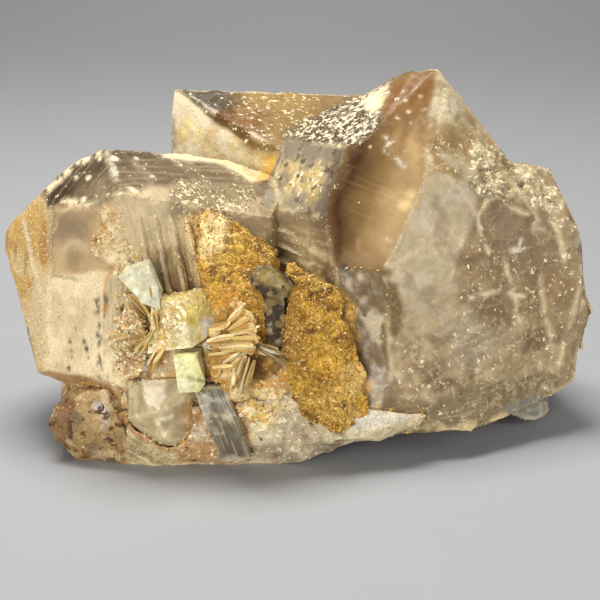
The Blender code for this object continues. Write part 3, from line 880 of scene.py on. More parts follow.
def left_crystal(q):
    """The crystal that lies to the left: its cream end, dark top, beige front and brown prism."""
    end_face = q.area(AT.end_face, 4, 2, (212, 190, 142), coat=1.0, clear=0.0, speck=0.4, etch=0.8)
    q.patch(end_face, 6, 0.42, 21, (203, 166, 98))
    q.patch(end_face, 3, 0.2, 22, (182, 138, 72))
    q.area(AT.end_face_low, 9, 6, (214, 194, 154))
    q.line(AT.end_face_ridge, 2.2, 1.5, (226, 208, 172))
    q.line(AT.end_face_edge, 0.9, 0.6, (226, 206, 160), coat=1.0)

    top = q.area(AT.left_top, 7, 4, (126, 108, 82), coat=0.0, speck=0.4, clear=0.2, etch=0.2)
    q.growth_lines(top, AT.left_top_run, 0.8, 0.5, 0.06, 82)
    q.patch(top, 5.0, 0.3, 83, (150, 134, 106), speck=0.55)
    q.area(AT.left_top_dark, 12, 6, (76, 61, 43), share=0.75, coat=0.0)
    q.area(AT.left_corner, 6, 4, (74, 58, 42))
    q.torn_line(AT.left_top_edge, 3.0, 1.5, 2.0, 0.5, 61, CREAM, coat=1.0)
    q.torn_line(AT.left_shoulder, 3.2, 1.5, 1.8, 0.5, 62, CREAM, coat=1.0)
    q.dots(AT.shards, 0.6, 0.6, (226, 210, 178), coat=1.0)
    q.dots(AT.amber_chip, 0.6, 0.6, (232, 200, 130), coat=1.0)

    q.area(AT.smoky_front, 6, 4, (200, 170, 128), coat=0.2, speck=0.3, clear=0.15)
    q.area(AT.smoky_patch, 14, 6, (142, 123, 98), share=0.8)
    q.dots(AT.round_mark, 2.4, 0.6, (148, 128, 98), share=0.8, speck=0.1)
    q.line(AT.round_mark_rim, 0.7, 0.7, (204, 188, 154))

    beige = q.area(AT.beige_front, 4, 3, (226, 206, 166), coat=0.85, speck=0.25, clear=0.0)
    q.patch(beige, 5, 0.3, 63, (208, 186, 146))
    q.growth_lines(beige, AT.beige_run, 0.5, 0.2, 0.08, 71)
    column = q.stroke(AT.dark_column, 3.0, 2.0)
    column *= ramp(q.grooves(AT.column_run, 1.1, 65), -0.7, 0.0)
    q.lay(column, (122, 111, 94), 0.85, coat=0.6)
    q.lay(q.patchy(column, 1.0, 0.35, 64, 0.1), (70, 62, 52))
    q.lay(q.patchy(q.stroke(AT.thin_column, 1.4, 1.2), 1.2, 0.45, 60, 0.1), (104, 95, 80))
    q.dots(AT.black_specks, 0.5, 0.5, BLACK_STAIN)
    q.line(AT.front_edge, 0.4, 0.6, (74, 62, 50))
    under = q.area(AT.under_face, 3, 2, (160, 124, 80), coat=0.6, speck=0.2)
    q.growth_lines(under, AT.under_run, 0.8, 0.6, 0.15, 72)

    q.torn_line(AT.orange_stains, 1.6, 1.2, 1.6, 0.65, 88, (184, 132, 68), coat=1.0)
    q.dots(AT.rust_spots, 0.6, 0.6, (150, 84, 34), coat=1.0)
    q.dots(AT.red_spot, 0.6, 0.6, (158, 78, 62), coat=0.6)
    strip = q.area(AT.fibre_strip, 4, 3, (188, 172, 140), coat=0.4)
    q.growth_lines(strip, AT.strip_run, 0.5, 0.9, 0.2, 73)
    q.torn_line(AT.cream_arc, 3.0, 1.6, 1.8, 0.6, 66, (228, 212, 172), coat=1.0)

    prism = q.area(AT.prism, 6, 4, (204, 184, 148), coat=0.1, speck=0.2, clear=0.15)
    brown = q.area(AT.prism_brown, 4, 3, (176, 152, 112), coat=0.0, clear=0.2)
    q.growth_lines(prism, AT.prism_run, 0.55, 0.45, 0.22, 74)
    q.lay(brown, stria=0.6)
    crumbs = q.outline(AT.crumb_area, 10, 6)
    q.lay(crumbs, (128, 112, 86), 0.8, coat=0.0, speck=0.45)
    q.patch(crumbs, 3.0, 0.5, 67, speck=0.85)
    q.area(AT.bare_patch, 6, 4, (176, 157, 126), coat=0.1, stria=0.1)
    q.area(AT.cream_patch, 6, 5, (222, 202, 154), coat=0.8)
    q.line(AT.brown_line, 2.6, 1.6, (128, 92, 54))


def back_crystal(q):
    """The crystal behind: a beige side and a dark top."""
    beige = q.area(AT.back_beige, 3, 2, (224, 208, 176), coat=0.95, speck=0.1, clear=0.0, etch=0.6)
    q.patch(beige, 5, 0.3, 23, (205, 178, 130))
    q.patch(beige, 3, 0.2, 24, (220, 200, 146))
    q.area(AT.ochre_corner, 6, 4, (216, 172, 84))
    q.line(AT.back_edge, 1.6, 1.2, (160, 150, 140))
    q.area(AT.back_top, 3, 2, (78, 64, 46), coat=0.0, speck=0.5, clear=0.1)
    q.area(AT.back_top_tan, 22, 8, (140, 112, 60), speck=0.6)
    q.area(AT.back_top_brown, 14, 6, (122, 82, 38), share=0.8)
    q.area(AT.back_top_end, 12, 5, (128, 104, 70), share=0.7, speck=0.3)


def main_crystal(q):
    """The large upright crystal: its dark tip, grey and lined faces, and the pale face at the right."""
    speckled = q.area(AT.speckled_face, 3, 1.5, (74, 60, 42), coat=0.0, speck=0.84, clear=0.1, etch=0.5)
    q.growth_lines(speckled, AT.speckled_run, 0.7, 0.8, 0.05, 84)
    q.area(AT.cream_tip, 5, 3, (230, 212, 168), coat=0.9)
    grey = q.area(AT.grey_face, 3, 1.5, (146, 135, 115), coat=0.3, speck=0.35, clear=0.1)
    cover = q.outline(AT.cream_cover, 10, 8)
    q.patch(cover, 3.5, 0.72, 27, (186, 166, 118), coat=0.6, speck=0.75)
    q.patch(cover, 2.5, 0.15, 28, (178, 152, 98))
    q.lay(q.patchy(grey, 1.4, 0.04, 29, 0.08), (106, 94, 76))
    striated = q.area(AT.striated_face, 3, 1.5, (166, 145, 110), coat=0.1, speck=0.4, clear=0.05, etch=0.4)
    q.growth_lines(striated, AT.striated_run, 0.7, 0.4, 0.2, 75)
    q.torn_line(AT.cream_streaks, 2.2, 1.4, 2.0, 0.6, 30, (220, 200, 156), coat=0.9)
    q.area(AT.striated_top, 3, 2, (142, 123, 96), share=0.8)
    window_glass(q)
    pale = q.area(AT.pale_face, 5, 3, (168, 147, 108), coat=0.1, speck=0.2, clear=0.2, etch=0.3, vein=0.35)
    q.area(AT.pale_middle, 12, 6, (178, 160, 122), coat=0.2, speck=0.1, vein=0.15)
    q.area(AT.apex_patch, 4, 4, (180, 168, 142), coat=0.6)
    q.area(AT.tan_band, 14, 8, (152, 122, 80), share=0.9, coat=0.0, speck=0.5, vein=0.8)
    q.patch(pale, 6, 0.35, 34, (184, 169, 138), coat=0.2)
    q.patch(pale, 4, 0.15, 35, (138, 116, 84), share=0.7)
    q.lay(q.stroke(AT.window_seam, 0.7, 0.6, 0.3) * 0.7, (210, 192, 154), coat=0.8)
    q.line(AT.seam_shade, 2.2, 2.0, (184, 152, 104), share=0.6)
    q.line(AT.curved_crack, 1.2, 1.0, (192, 176, 144), coat=0.7)
    q.line(AT.pale_cracks, 0.9, 0.8, (196, 180, 146), coat=0.6)
    q.area(AT.dark_lower, 6, 4, (100, 78, 38), coat=0.0, speck=0.15, clear=0.05, etch=0.5)
    q.patch(q.spots(AT.white_flake, 1.2, 1.2), 2.4, 0.65, 85, (178, 164, 136), coat=0.7)
    q.dots(AT.small_flakes, 1.2, 1.2, (182, 166, 136), coat=0.7)
    q.dots(AT.dark_dots, 0.6, 0.6, (84, 72, 58), coat=0.2)


def window_glass(q):
    """The clear brown face of the main crystal, which the light shines into. Painted light stands for the
    light through its pale right part, with a painted glow and glints, and painted shade darkens its left
    edge over the smoky brown.
    """
    q.area(AT.window, 3, 1.0, (156, 123, 76), coat=0.0, speck=0.0, clear=0.4, etch=0.0)
    # painted shade: the window's left edge darkened, over the crystal's own smoky brown
    q.area(AT.window_painted_shade, 34, 4, (62, 36, 12), clear=0.3)
    q.area(AT.window_top, 16, 4, (116, 82, 46), clear=0.05, etch=0.0, film=0.0)
    # painted light: the pale right part of the window, where light shines through
    q.area(AT.window_painted_light, 30, 5, (194, 163, 116), clear=0.3)
    q.dots(AT.window_glow, 4.0, 0.8, (206, 172, 122), share=0.7, clear=0.3)
    q.dots(AT.window_glints, 1.6, 0.8, (222, 196, 138), clear=0.2)
    q.area(AT.window_foot, 8, 5, (150, 120, 88), share=0.6)
    streaks = q.outline(AT.window_streaks, 16, 4)
    q.growth_lines(streaks, AT.window_run, 0.8, 0.22, 0.0, 76)
    q.torn_line(AT.star_cracks, 1.2, 0.9, 1.5, 0.6, 37, (190, 178, 156), share=0.8, coat=0.8)
    q.line(AT.curl, 0.8, 0.8, (180, 142, 104))
    q.line(AT.forked_crack, 0.6, 0.5, (208, 190, 164), coat=0.7)
    q.dots(AT.window_specks, 0.3, 0.2, (216, 200, 170), coat=1.0)
    q.line(AT.window_veils, 1.2, 1.8, (142, 106, 66))


def right_lobe(q):
    """The rough rounded lobe at the right, with its pale shoulder, foot and grey tip."""
    rough = q.area(AT.lobe, 9, 6, (152, 130, 96), coat=0.1, speck=0.5, clear=0.12, etch=1.0, vein=0.55)
    q.patch(rough, 2.4, 0.35, 38, (166, 148, 114), coat=0.36)
    q.patch(rough, 5.5, 0.22, 39, (120, 97, 68), coat=0.0)
    q.area(AT.lobe_upper, 24, 8, (116, 92, 62), share=0.7, coat=0.0, vein=0.3)
    q.area(AT.lobe_pale, 20, 8, (160, 148, 124), share=0.6, vein=0.6)
    band = q.outline(AT.shoulder_band, 6, 4)
    q.patch(band, 3.5, 0.75, 31, (170, 155, 124), coat=0.6, speck=0.8)
    q.patch(band, 2.0, 0.2, 32, (122, 106, 82), coat=0.0)
    q.area(AT.under_band, 14, 6, (128, 108, 82), coat=0.0, speck=0.3)
    q.dots(AT.bubble_rim, 0.4, 0.1, (124, 106, 84))
    # painted shade: the bubble's sunk middle is coloured dark
    q.dots(AT.bubble, 0.3, 0.1, (70, 58, 46))
    q.moves -= 0.5 * q.spots(AT.bubble_pit, 0.4, 0.0)
    q.patch(q.spots(AT.lobe_glints, 0.8, 1.0), 1.6, 0.55, 87, (196, 186, 164), coat=0.9)
    q.torn_line(AT.lobe_cracks, 1.2, 1.0, 2.0, 0.7, 42, (196, 180, 146), coat=0.9)
    foot = q.area(AT.lobe_foot, 8, 5, (124, 108, 78), coat=0.3, speck=0.3, clear=0.1, vein=0.6)
    q.growth_lines(foot, AT.foot_run, 1.0, 0.4, 0.2, 77)
    rim = q.outline(AT.foot_rim, 5, 4)
    q.patch(rim, 4.0, 0.7, 86, (186, 166, 124), coat=0.8)
    q.moves += rough * (0.45 * q.noise(3.0, 46) + 0.25 * np.abs(q.noise(1.4, 47)))
    q.moves += band * (0.9 * q.noise(3.4, 48) + 0.5 * q.noise(1.5, 49))
    q.area(AT.grey_tip, 3, 1, (134, 132, 118), coat=0.1, speck=0.1, clear=0.3, etch=0.1, stria=0.0)
    q.line(AT.grey_tip_edge, 0.5, 0.6, (206, 202, 186))
    smear = q.outline(AT.lobe_smear, 14, 8)
    q.growth_lines(smear, AT.smear_run, 1.2, 0.35, 0.12, 78)


def low_crystals(q):
    """The glassy lump and the lined grey block low on the left."""
    glassy = q.area(AT.glassy_lump, 3, 2, (170, 150, 114), coat=0.0, speck=0.2, clear=0.15, etch=0.1,
                    vein=0.4)
    q.patch(glassy, 4, 0.4, 44, (194, 177, 142), coat=0.4)
    # painted highlight: the glassy lump's top facet laid white
    q.area(AT.lump_painted_highlight, 4, 4, (230, 218, 188), coat=0.9)
    q.line(AT.lump_cracks, 1.0, 0.8, (228, 216, 188), coat=0.9)
    q.area(AT.lump_rust, 8, 5, (178, 132, 78), share=0.8, coat=0.8)
    block = q.area(AT.striated_block, 3, 2, (102, 94, 76), coat=0.0, speck=0.3, clear=0.1)
    q.growth_lines(block, AT.block_run, 0.6, 0.8, 0.25, 79)
    q.patch(block, 2.4, 0.15, 45, (164, 158, 142), coat=0.6)


# ---------------------------------------------------------------- matrix and crusts

def matrix(q):
    """The feldspar rock that carries the crystals, stained where it touches the quartz."""
    m = Surface("feldspar_matrix", "matrix", (190, 165, 126), edges=(1.0, 1.9), speck=0.4, pits=0.4)
    m.lay(m.patchy(m.everywhere, 12, 0.35, 3, 0.12), (170, 134, 90))
    m.lay(m.patchy(m.everywhere, 9, 0.3, 5, 0.1), (204, 190, 160))
    m.lay(m.patchy(m.everywhere, 5, 0.14, 6, 0.1), (146, 102, 62), pits=0.8)
    knob = m.area(AT.knob, 6, 4, (160, 132, 88), speck=0.2, pits=0.7)
    m.patch(knob, 4, 0.3, 7, (136, 98, 60))
    m.patch(knob, 3.2, 0.28, 8, (198, 176, 132))
    # painted shade: the knob's left side darkened
    m.area(AT.knob_painted_shade, 14, 6, (112, 88, 62), share=0.5)
    m.dots(AT.knob_pits, 1.5, 1.5, (112, 94, 72), share=0.7)
    m.dots(AT.knob_white, 1.5, 1.5, (198, 192, 186))
    m.dots(AT.rust_dots, 0.6, 0.6, (84, 46, 24))
    shell = m.area(AT.shell, 3, 2, (186, 170, 130), speck=0.2, pits=0.2)
    m.growth_ridges(shell, AT.shell_run, 0.9, 0.3, (214, 200, 160), (150, 132, 96), 79)
    m.area(AT.rusty_patch, 6, 4, (186, 150, 104), pits=0.5)
    m.dots(AT.rusty_spots, 1.0, 1.0, (134, 76, 40))
    pale = m.area(AT.pale_rock, 6, 4, (174, 158, 128), speck=0.5, pits=0.3)
    m.patch(pale, 5, 0.35, 9, (140, 127, 104))
    m.patch(pale, 4, 0.3, 10, (196, 182, 150))
    crusts = m.outline(AT.rock_crusts, 12, 9)
    crumbly = m.patchy(crusts, 3.0, 0.72, 11, 0.15)
    m.lay(crumbly, (214, 176, 88), speck=0.7)
    m.patch(crumbly, 2.0, 0.4, 23, (226, 206, 156))
    m.moves += 0.7 * crumbly
    m.dots(AT.cream_dot, 1.0, 1.0, (222, 206, 168))
    # painted shade: the inside of the hole is coloured near black
    m.dots(AT.hole, 0.4, 0.2, (48, 38, 26))
    m.moves -= 0.9 * m.spots(AT.hole_pit, 0.5, 0.0)
    ledge = m.area(AT.ledge, 4, 2, (196, 182, 148), speck=0.3, pits=0.1)
    m.area(AT.ledge_pale, 4, 3, (204, 197, 178))
    rim = m.area(AT.rock_rim, 5, 3, (200, 180, 142), speck=0.6, pits=0.5)
    m.patch(rim, 3.4, 0.3, 12, (168, 132, 88))
    m.patch(rim, 2.4, 0.14, 13, (142, 92, 54))
    m.area(AT.cavity, 4, 3, (128, 90, 42), speck=0.2)
    below = m.outline(AT.below_block, 6, 4)
    m.patch(below, 2.6, 0.6, 14, (206, 158, 82), speck=0.6)
    hollow = m.outline(AT.rock_hollow, 6, 4)
    m.patch(hollow, 2.0, 0.45, 21, (196, 150, 70))
    m.patch(hollow, 1.6, 0.2, 22, (72, 50, 26))
    seam = m.beside(q, 1.6) * m.facing
    m.patch(seam, 2.0, 0.6, 18, (196, 150, 88), speck=0.7)
    m.patch(seam, 1.6, 0.25, 20, (134, 86, 46))
    m.moves += 0.28
    lumps, owner = cells(m.points, 3.2 * MM, 17)
    rough = 1.0 - 0.75 * ledge
    m.moves += rough * (0.4 * m.noise(3.2, 16) + 0.35 * (0.5 - lumps) * (owner > -0.2))
    m.moves += 0.18 * rough * m.noise(1.1, 19, 2)
    m.moves *= ramp(m.points[:, 2], 0.2 * MM, 2.0 * MM)
    m.lay(ramp(-m.noise(3.2, 16), 0.4, 0.9) * rough * 0.4, (140, 100, 60))
    m.finish(rock_material("feldspar_matrix", (232, 218, 184), (92, 62, 38), (0.5, 0.85), 1.4), "feldspar")
    return m


def druse(name, node, seed):
    """A crust of tiny ochre crystals: rounded lumps, each broken up into grains."""
    d = Surface(name, node, (200, 158, 60), edges=(0.55, 0.9), speck=0.5, pits=0.5)
    d.patch(d.everywhere, 6, 0.4, seed, (204, 168, 84))
    d.patch(d.everywhere, 4, 0.3, seed + 1, (172, 128, 46))
    d.patch(d.everywhere, 3, 0.12, seed + 2, (130, 92, 38))
    lumps, _ = cells(d.points, 3.4 * MM, seed)
    grains, shade = cells(d.points, 0.9 * MM, seed + 4)
    d.moves += 0.55 * (0.55 - lumps) + 0.40 * (0.5 - grains) + 0.5 * d.noise(5.0, seed + 6)
    d.wander(6.0, 1.1, seed + 20)
    d.wander(2.4, 0.5, seed + 30)
    # Each grain takes a random tone, and painted shade darkens the crevices between grains, where the
    # surface is sunk
    d.tint *= (1.0 + 0.22 * shade - 0.35 * ramp(grains, 0.35, 0.75))[:, None]
    return d


def scatter(name, surface, mask, colours, material, count, sizes, seed, fresh=0.65):
    """Many tiny blunt crystals in one mesh, half sunk in a surface. A fresh share of them has the colours
    given, and the others have the surface's own."""
    rng = np.random.default_rng(seed)
    moved = surface.moved()
    area = np.linalg.norm(face_normals(moved, surface.triangles), axis=1) * mask[surface.triangles].mean(1)
    chosen = surface.triangles[rng.choice(len(area), count, p=area / area.sum())]
    weights = rng.dirichlet((1, 1, 1), count)
    places = np.einsum("ij,ijk->ik", weights, moved[chosen])
    unit = np.array([(1, 0, 0), (-1, 0, 0), (0, 1, 0), (0, -1, 0), (0, 0, 1.25), (0, 0, -1.25)], float)
    upper = [(0, 2, 4), (2, 1, 4), (1, 3, 4), (3, 0, 4)]
    faces = np.array(upper + [(b, a, 5) for a, b, _ in upper])
    turns, _ = np.linalg.qr(rng.normal(size=(count, 3, 3)))
    turns *= np.sign(np.linalg.det(turns))[:, None, None]
    low, high = sizes
    size = (low + (high - low) * rng.random(count) ** 2) / 2 * MM
    stretch = rng.uniform(0.7, 1.3, (count, 6, 1))
    points = np.einsum("nij,kj->nki", turns, unit) * stretch * size[:, None, None] + places[:, None, :]
    triangles = (faces[None] + 6 * np.arange(count)[:, None, None]).reshape(-1, 3)
    own = np.einsum("ij,ijk->ik", weights, surface.tint[chosen])
    given = np.array([rgb(*colour) for colour in colours])[rng.integers(len(colours), size=count)]
    shades = own + (given - own) * (rng.random(count) < fresh)[:, None]
    shades = shades * rng.uniform(0.8, 1.2, (count, 1))
    mesh = coloured_mesh(name, points.reshape(-1, 3), triangles, np.repeat(shades, 6, axis=0))
    hang(name, mesh, material, node=None, smooth_angle=20.0)


ANYWHERE = 1e-9               # keeps a mask from being all zero where grains are drawn
RAISED = 2.0 * MM             # grains keep this far above the floor
OCHRE_GRAINS = [(208, 170, 82), (198, 154, 58), (178, 132, 44), (214, 188, 118), (140, 100, 40)]
CREAM_GRAINS = [(224, 210, 172), (210, 190, 144), (196, 164, 110)]


def crusts(q, m):
    """The two ochre crusts, and the loose grains strewn over the quartz and the rock."""
    ochre = rock_material("ochre_druse", (222, 198, 140), (112, 76, 34), (0.55, 0.85), 0.9)
    grain = grain_material("ochre_grains")
    left = druse("ochre_druse_left", "ochre_crust_left", 81)
    left.area(AT.crust_cream, 10, 6, (228, 206, 156))
    left.area(AT.crust_left_low, 10, 6, (196, 146, 60), share=0.7)
    left.finish(ochre, "ochre_druse")
    scatter("ochre_grains_left", left, left.facing.astype(float), OCHRE_GRAINS, grain,
            count=9000, sizes=(0.25, 0.75), seed=91, fresh=0.35)
    right = druse("ochre_druse_right", "ochre_crust_right", 84)
    right.area(AT.crust_right_pale, 6, 4, (204, 174, 108))
    right.area(AT.crust_right_dark, 8, 5, (150, 108, 52), share=0.7)
    right.finish(ochre, "ochre_druse")
    scatter("ochre_grains_right", right, right.facing.astype(float), OCHRE_GRAINS, grain,
            count=9500, sizes=(0.25, 0.75), seed=92, fresh=0.35)
    spread = q.outline(AT.ochre_spread, 14, 8)
    spread = np.maximum(spread, 0.6 * q.outline(AT.hollow_by_fan, 6, 4))
    spread = np.maximum(spread, 0.5 * q.outline(AT.ochre_left_part, 8, 6))
    scatter("ochre_grains_on_quartz", q, spread + ANYWHERE, OCHRE_GRAINS, grain,
            count=6500, sizes=(0.25, 0.8), seed=93)
    face = q.outline(AT.end_face, 4, 2)
    scatter("ochre_grains_left_face", q, face + ANYWHERE, CREAM_GRAINS, grain,
            count=4200, sizes=(0.2, 0.5), seed=94, fresh=0.4)
    crumbs = np.maximum(q.outline(AT.crumb_scatter, 10, 6), 0.5 * q.outline(AT.band_scatter, 8, 5))
    crumbs = np.maximum(crumbs, 0.35 * q.near_edges(1.2) * q.facing)
    crumbs *= 1 - q.outline(AT.window_whole, 8, 3)
    scatter("cream_crumbs_on_quartz", q, crumbs + 0.003, CREAM_GRAINS, grain, count=2600,
            sizes=(0.25, 0.7), seed=95)
    seam_q = q.patchy(q.beside(m, 1.8) * q.facing * (q.points[:, 2] > RAISED), 3.0, 0.5, 53)
    scatter("rust_grains_in_seams", q, seam_q + ANYWHERE, OCHRE_GRAINS, grain,
            count=3000, sizes=(0.3, 0.9), seed=97)
    arc = q.patchy(q.stroke(AT.cream_arc, 2.6, 2.0), 2.0, 0.6, 56)
    rim = q.outline(AT.left_scatter, 8, 6)
    scatter("cream_crumbs_left", q, np.maximum(arc, 0.4 * rim) + ANYWHERE, CREAM_GRAINS, grain,
            count=1600, sizes=(0.3, 1.1), seed=98, fresh=0.7)
    below = m.outline(AT.rock_scatter, 8, 5)
    raised = (m.points[:, 2] > RAISED).astype(float)
    scatter("ochre_grains_on_matrix", m, (below + 0.08) * raised, OCHRE_GRAINS + CREAM_GRAINS, grain,
            count=5200, sizes=(0.3, 0.8), seed=96, fresh=0.5)


def even_material(name, size, detail, tones, roughness, depth, strength, **sockets):
    """A surface with one fine grain, for loose grains and blades."""
    r = Recipe(name)
    fine = r.grain(size, detail)
    r.set(Base_Color=r.scaled(r.tint(), r.between(fine, 0.3, 0.7, *tones)),
          Roughness=r.between(fine, 0.35, 0.65, *roughness), **sockets)
    r.bump((fine, depth, strength))
    return r.material


def grain_material(name):
    return even_material(name, 0.3, 3.0, (0.75, 1.2), (0.5, 0.8), 0.05, 0.6, IOR=GRAIN_IOR,
                         Specular_IOR_Level=0.3)


# ---------------------------------------------------------------- blades and small crystals

def blade(root, tip, side, width, thickness, points, triangles):
    """A thin blade, broadest at two thirds of its length, rounded at its tip."""
    along = tip - root
    across = side - along * (side.dot(along) / along.length_squared)
    across.normalize()
    flat = along.normalized().cross(across)
    start = len(points)
    # shares of the length, the width and the thickness, and then the section's outline
    stations = ((0.0, 0.45, 0.6), (0.3, 0.8, 0.9), (0.65, 1.0, 1.0), (0.88, 0.8, 0.8), (1.0, 0.35, 0.35))
    ring = ((1, 0), (0.6, 0.5), (-0.6, 0.5), (-1, 0), (-0.6, -0.5), (0.6, -0.5))
    for share, wide, thick in stations:
        for u, v in ring:
            rim = root + along * share + across * (u * width / 2 * wide)
            points.append(rim + flat * (v * thickness * thick))
    size = len(ring)
    for row in range(len(stations) - 1):
        for index in range(size):
            a, b = start + row * size + index, start + row * size + (index + 1) % size
            triangles += [(a, b, b + size), (a, b + size, a + size)]
    last = start + (len(stations) - 1) * size
    for index in range(1, size - 1):
        triangles.append((start, start + index + 1, start + index))
        triangles.append((last, last + index, last + index + 1))


def blades(name, node, place, colours, material, seed, copies, forward, widths, thicknesses, stray):
    """Thin blades that stand out of a CAD fan, several beside each line of a group, which runs from a
    blade's root to its tip. They stray by pixels, and the other measures are in millimetres."""
    rng = np.random.default_rng(seed)
    source, _ = cad_triangles(node)
    depth = (np.median(source, 0) - np.array(EYE)) @ np.array(AHEAD)
    points, faces, shades = [], [], []
    for line in place.split("/"):
        start, end = pixels(line)
        for _ in range(copies):
            slip = rng.normal(0, stray, 2)
            grow = rng.uniform(0.82, 1.05)
            level = depth - forward * MM + rng.uniform(-1.2, 1.2) * MM
            root = at_distance(start[0] + slip[0] * 0.5, start[1] + slip[1] * 0.5, level + 1.0 * MM)
            far = np.array(start) + (np.array(end) - np.array(start)) * grow + slip
            tip = at_distance(far[0], far[1], level - rng.uniform(0.2, 1.6) * MM)
            before = len(points)
            side = (AHEAD + UP * rng.normal(0, 0.35) + RIGHT * rng.normal(0, 0.2)).normalized()
            width, thickness = rng.uniform(*widths) * MM, rng.uniform(*thicknesses) * MM
            blade(root, tip, side, width, thickness, points, faces)
            shade = np.array(rgb(*colours[rng.integers(len(colours))])) * rng.uniform(0.85, 1.08)
            shades += [shade] * (len(points) - before)
    mesh = coloured_mesh(name, np.array(points), np.array(faces), np.array(shades))
    hang(name, mesh, material, node=None, smooth_angle=40.0)


def at_distance(px, py, depth):
    """The place on a pixel's line of sight at a depth along the camera's axis."""
    sight = line_of_sight(px, py)
    return EYE + sight * (depth / sight.dot(AHEAD))


def small_pieces():
    """The albite fans and strip, then the stalk and the green crystals."""
    albite = rock_material("albite", (244, 232, 204), (176, 130, 70), (0.35, 0.6), 0.7, 0.5)
    blade_look = even_material("albite_blades", 0.5, 4.0, (0.85, 1.12), (0.3, 0.5), 0.08, 0.5,
                               IOR=FELDSPAR_IOR, Subsurface_Weight=0.2, Subsurface_Scale=0.6 * MM)
    cream = [(228, 203, 142), (214, 184, 118), (236, 218, 172), (192, 154, 86)]
    # The core's dark rusty-yellow is partly its own rust and partly painted shade, for a root in the shadow
    # of the blades
    fan = Surface("albite_fan_core", "albite_blade_fan", (178, 136, 68), edges=(0.6, 1.0), speck=0.3,
                  pits=0.5)
    fan.lay(ramp(fan.noise(2.0, 3), 0.0, 0.4), (218, 192, 134))
    fan.moves += 0.2 * fan.noise(1.2, 4) - 0.15
    fan.finish(albite, "albite")
    blades("albite_blades", "albite_blade_fan", AT.main_blades, cream, blade_look, 101, copies=3,
           forward=2.4, widths=(2.2, 3.6), thicknesses=(0.55, 1.0), stray=1.4)
    blades("olive_blades", "albite_blade_fan", AT.olive_blades, [(128, 108, 70), (150, 128, 86)],
           blade_look, 102, copies=2, forward=2.0, widths=(2.2, 4.0), thicknesses=(0.5, 0.9), stray=1.3)
    side = Surface("albite_side_core", "albite_side_blades", (206, 170, 116), edges=(0.6, 1.0), speck=0.4,
                   pits=0.6)
    side.lay(ramp(side.noise(2.5, 3), 0.0, 0.4), (168, 128, 84))
    side.moves += 0.2 * side.noise(1.2, 4) - 0.15
    side.finish(albite, "albite")
    scatter("cream_crumbs_side", side, side.facing + ANYWHERE, CREAM_GRAINS, blade_look,
            count=1100, sizes=(0.3, 1.2), seed=104, fresh=0.8)
    blades("albite_side_blades_fine", "albite_side_blades", AT.side_blades, cream, blade_look, 103,
           copies=3, forward=0.8, widths=(1.0, 1.8), thicknesses=(0.35, 0.65), stray=3.6)
    strip = Surface("albite_edge_strip", "albite_strip", (214, 200, 166), edges=(0.6, 1.0), speck=0.4,
                    pits=0.3)
    strip.patch(strip.everywhere, 3, 0.35, 6, (186, 160, 116))
    strip.moves += 0.2 * strip.noise(1.6, 5)
    strip.wander(4.0, 0.8, 7)
    strip.finish(albite, "albite")
    stalk()
    green_minerals()


def stalk():
    """The dark stalk, olive at its head."""
    s = Surface("dark_mineral_stalk", "dark_stalk", (52, 39, 22), edges=(0.45, 0.7), speck=0.1, pits=0.3)
    s.area(AT.stalk_head, 8, 4, (132, 112, 60))
    s.dots(AT.stalk_dark, 1.2, 0.8, (38, 28, 16))
    s.lay(s.patchy(s.everywhere, 1.5, 0.3, 3, 0.1), (112, 92, 54))
    s.patch(s.everywhere, 1.3, 0.02, 4, (140, 130, 112))
    grains, _ = cells(s.points, 1.2 * MM, 5)
    s.moves += 0.35 * (0.5 - grains) + 0.25 * s.noise(2.0, 6)
    s.finish(rock_material("dark_stalk", (120, 104, 74), (30, 22, 14), (0.55, 0.8), 0.8), "dark_stalk")


def green_minerals():
    """The yellow-green block, the green cube and the pale tabular crystal."""
    yellow = Surface("yellow_green_block", "yellow_green_crystal", (210, 182, 100), edges=(0.5, 0.9),
                     speck=0.2, pits=0.15)
    yellow.patch(yellow.everywhere, 5, 0.4, 3, (206, 192, 138))
    yellow.patch(yellow.everywhere, 4, 0.3, 4, (194, 170, 76))
    yellow.area(AT.block_top, 8, 5, (216, 196, 118))
    yellow.dots(AT.block_pale, 1.6, 0.8, (216, 210, 190))
    yellow.moves += 0.25 * yellow.noise(3.0, 5) + 0.12 * yellow.noise(1.0, 6)
    yellow.finish(crystal_material("yellow_green_crystal"), "yellow_green_crystal")
    ragged = yellow.outline(AT.block_left_rim, 10, 5)
    ragged = np.maximum(ragged, 0.5 * yellow.outline(AT.block_top_rim, 5, 4))
    scatter("cream_crumbs_on_block", yellow, ragged + 0.04, CREAM_GRAINS,
            grain_material("block_grains"), count=700, sizes=(0.3, 1.0),
            seed=105, fresh=0.7)
    green = Surface("green_cube", "green_crystal", (222, 218, 150), edges=(0.5, 0.9))
    green.patch(green.everywhere, 3, 0.4, 3, (234, 230, 186))
    green.line(AT.cube_crack, 0.5, 0.6, (116, 120, 70))
    green.dots(AT.cube_dots, 0.8, 0.6, (96, 106, 60))
    green.moves += 0.15 * green.noise(2.0, 5) - 0.3 * green.stroke(AT.cube_crack, 0.5)
    green.finish(crystal_material("green_crystal"), "green_crystal")
    tabular = Surface("pale_tabular", "pale_tabular_crystal", (202, 198, 162), edges=(0.5, 0.9))
    tabular.patch(tabular.everywhere, 3, 0.35, 3, (206, 202, 176))
    tabular.moves += 0.1 * tabular.noise(2.0, 5)
    tabular.finish(crystal_material("pale_tabular_crystal"), "pale_tabular_crystal")


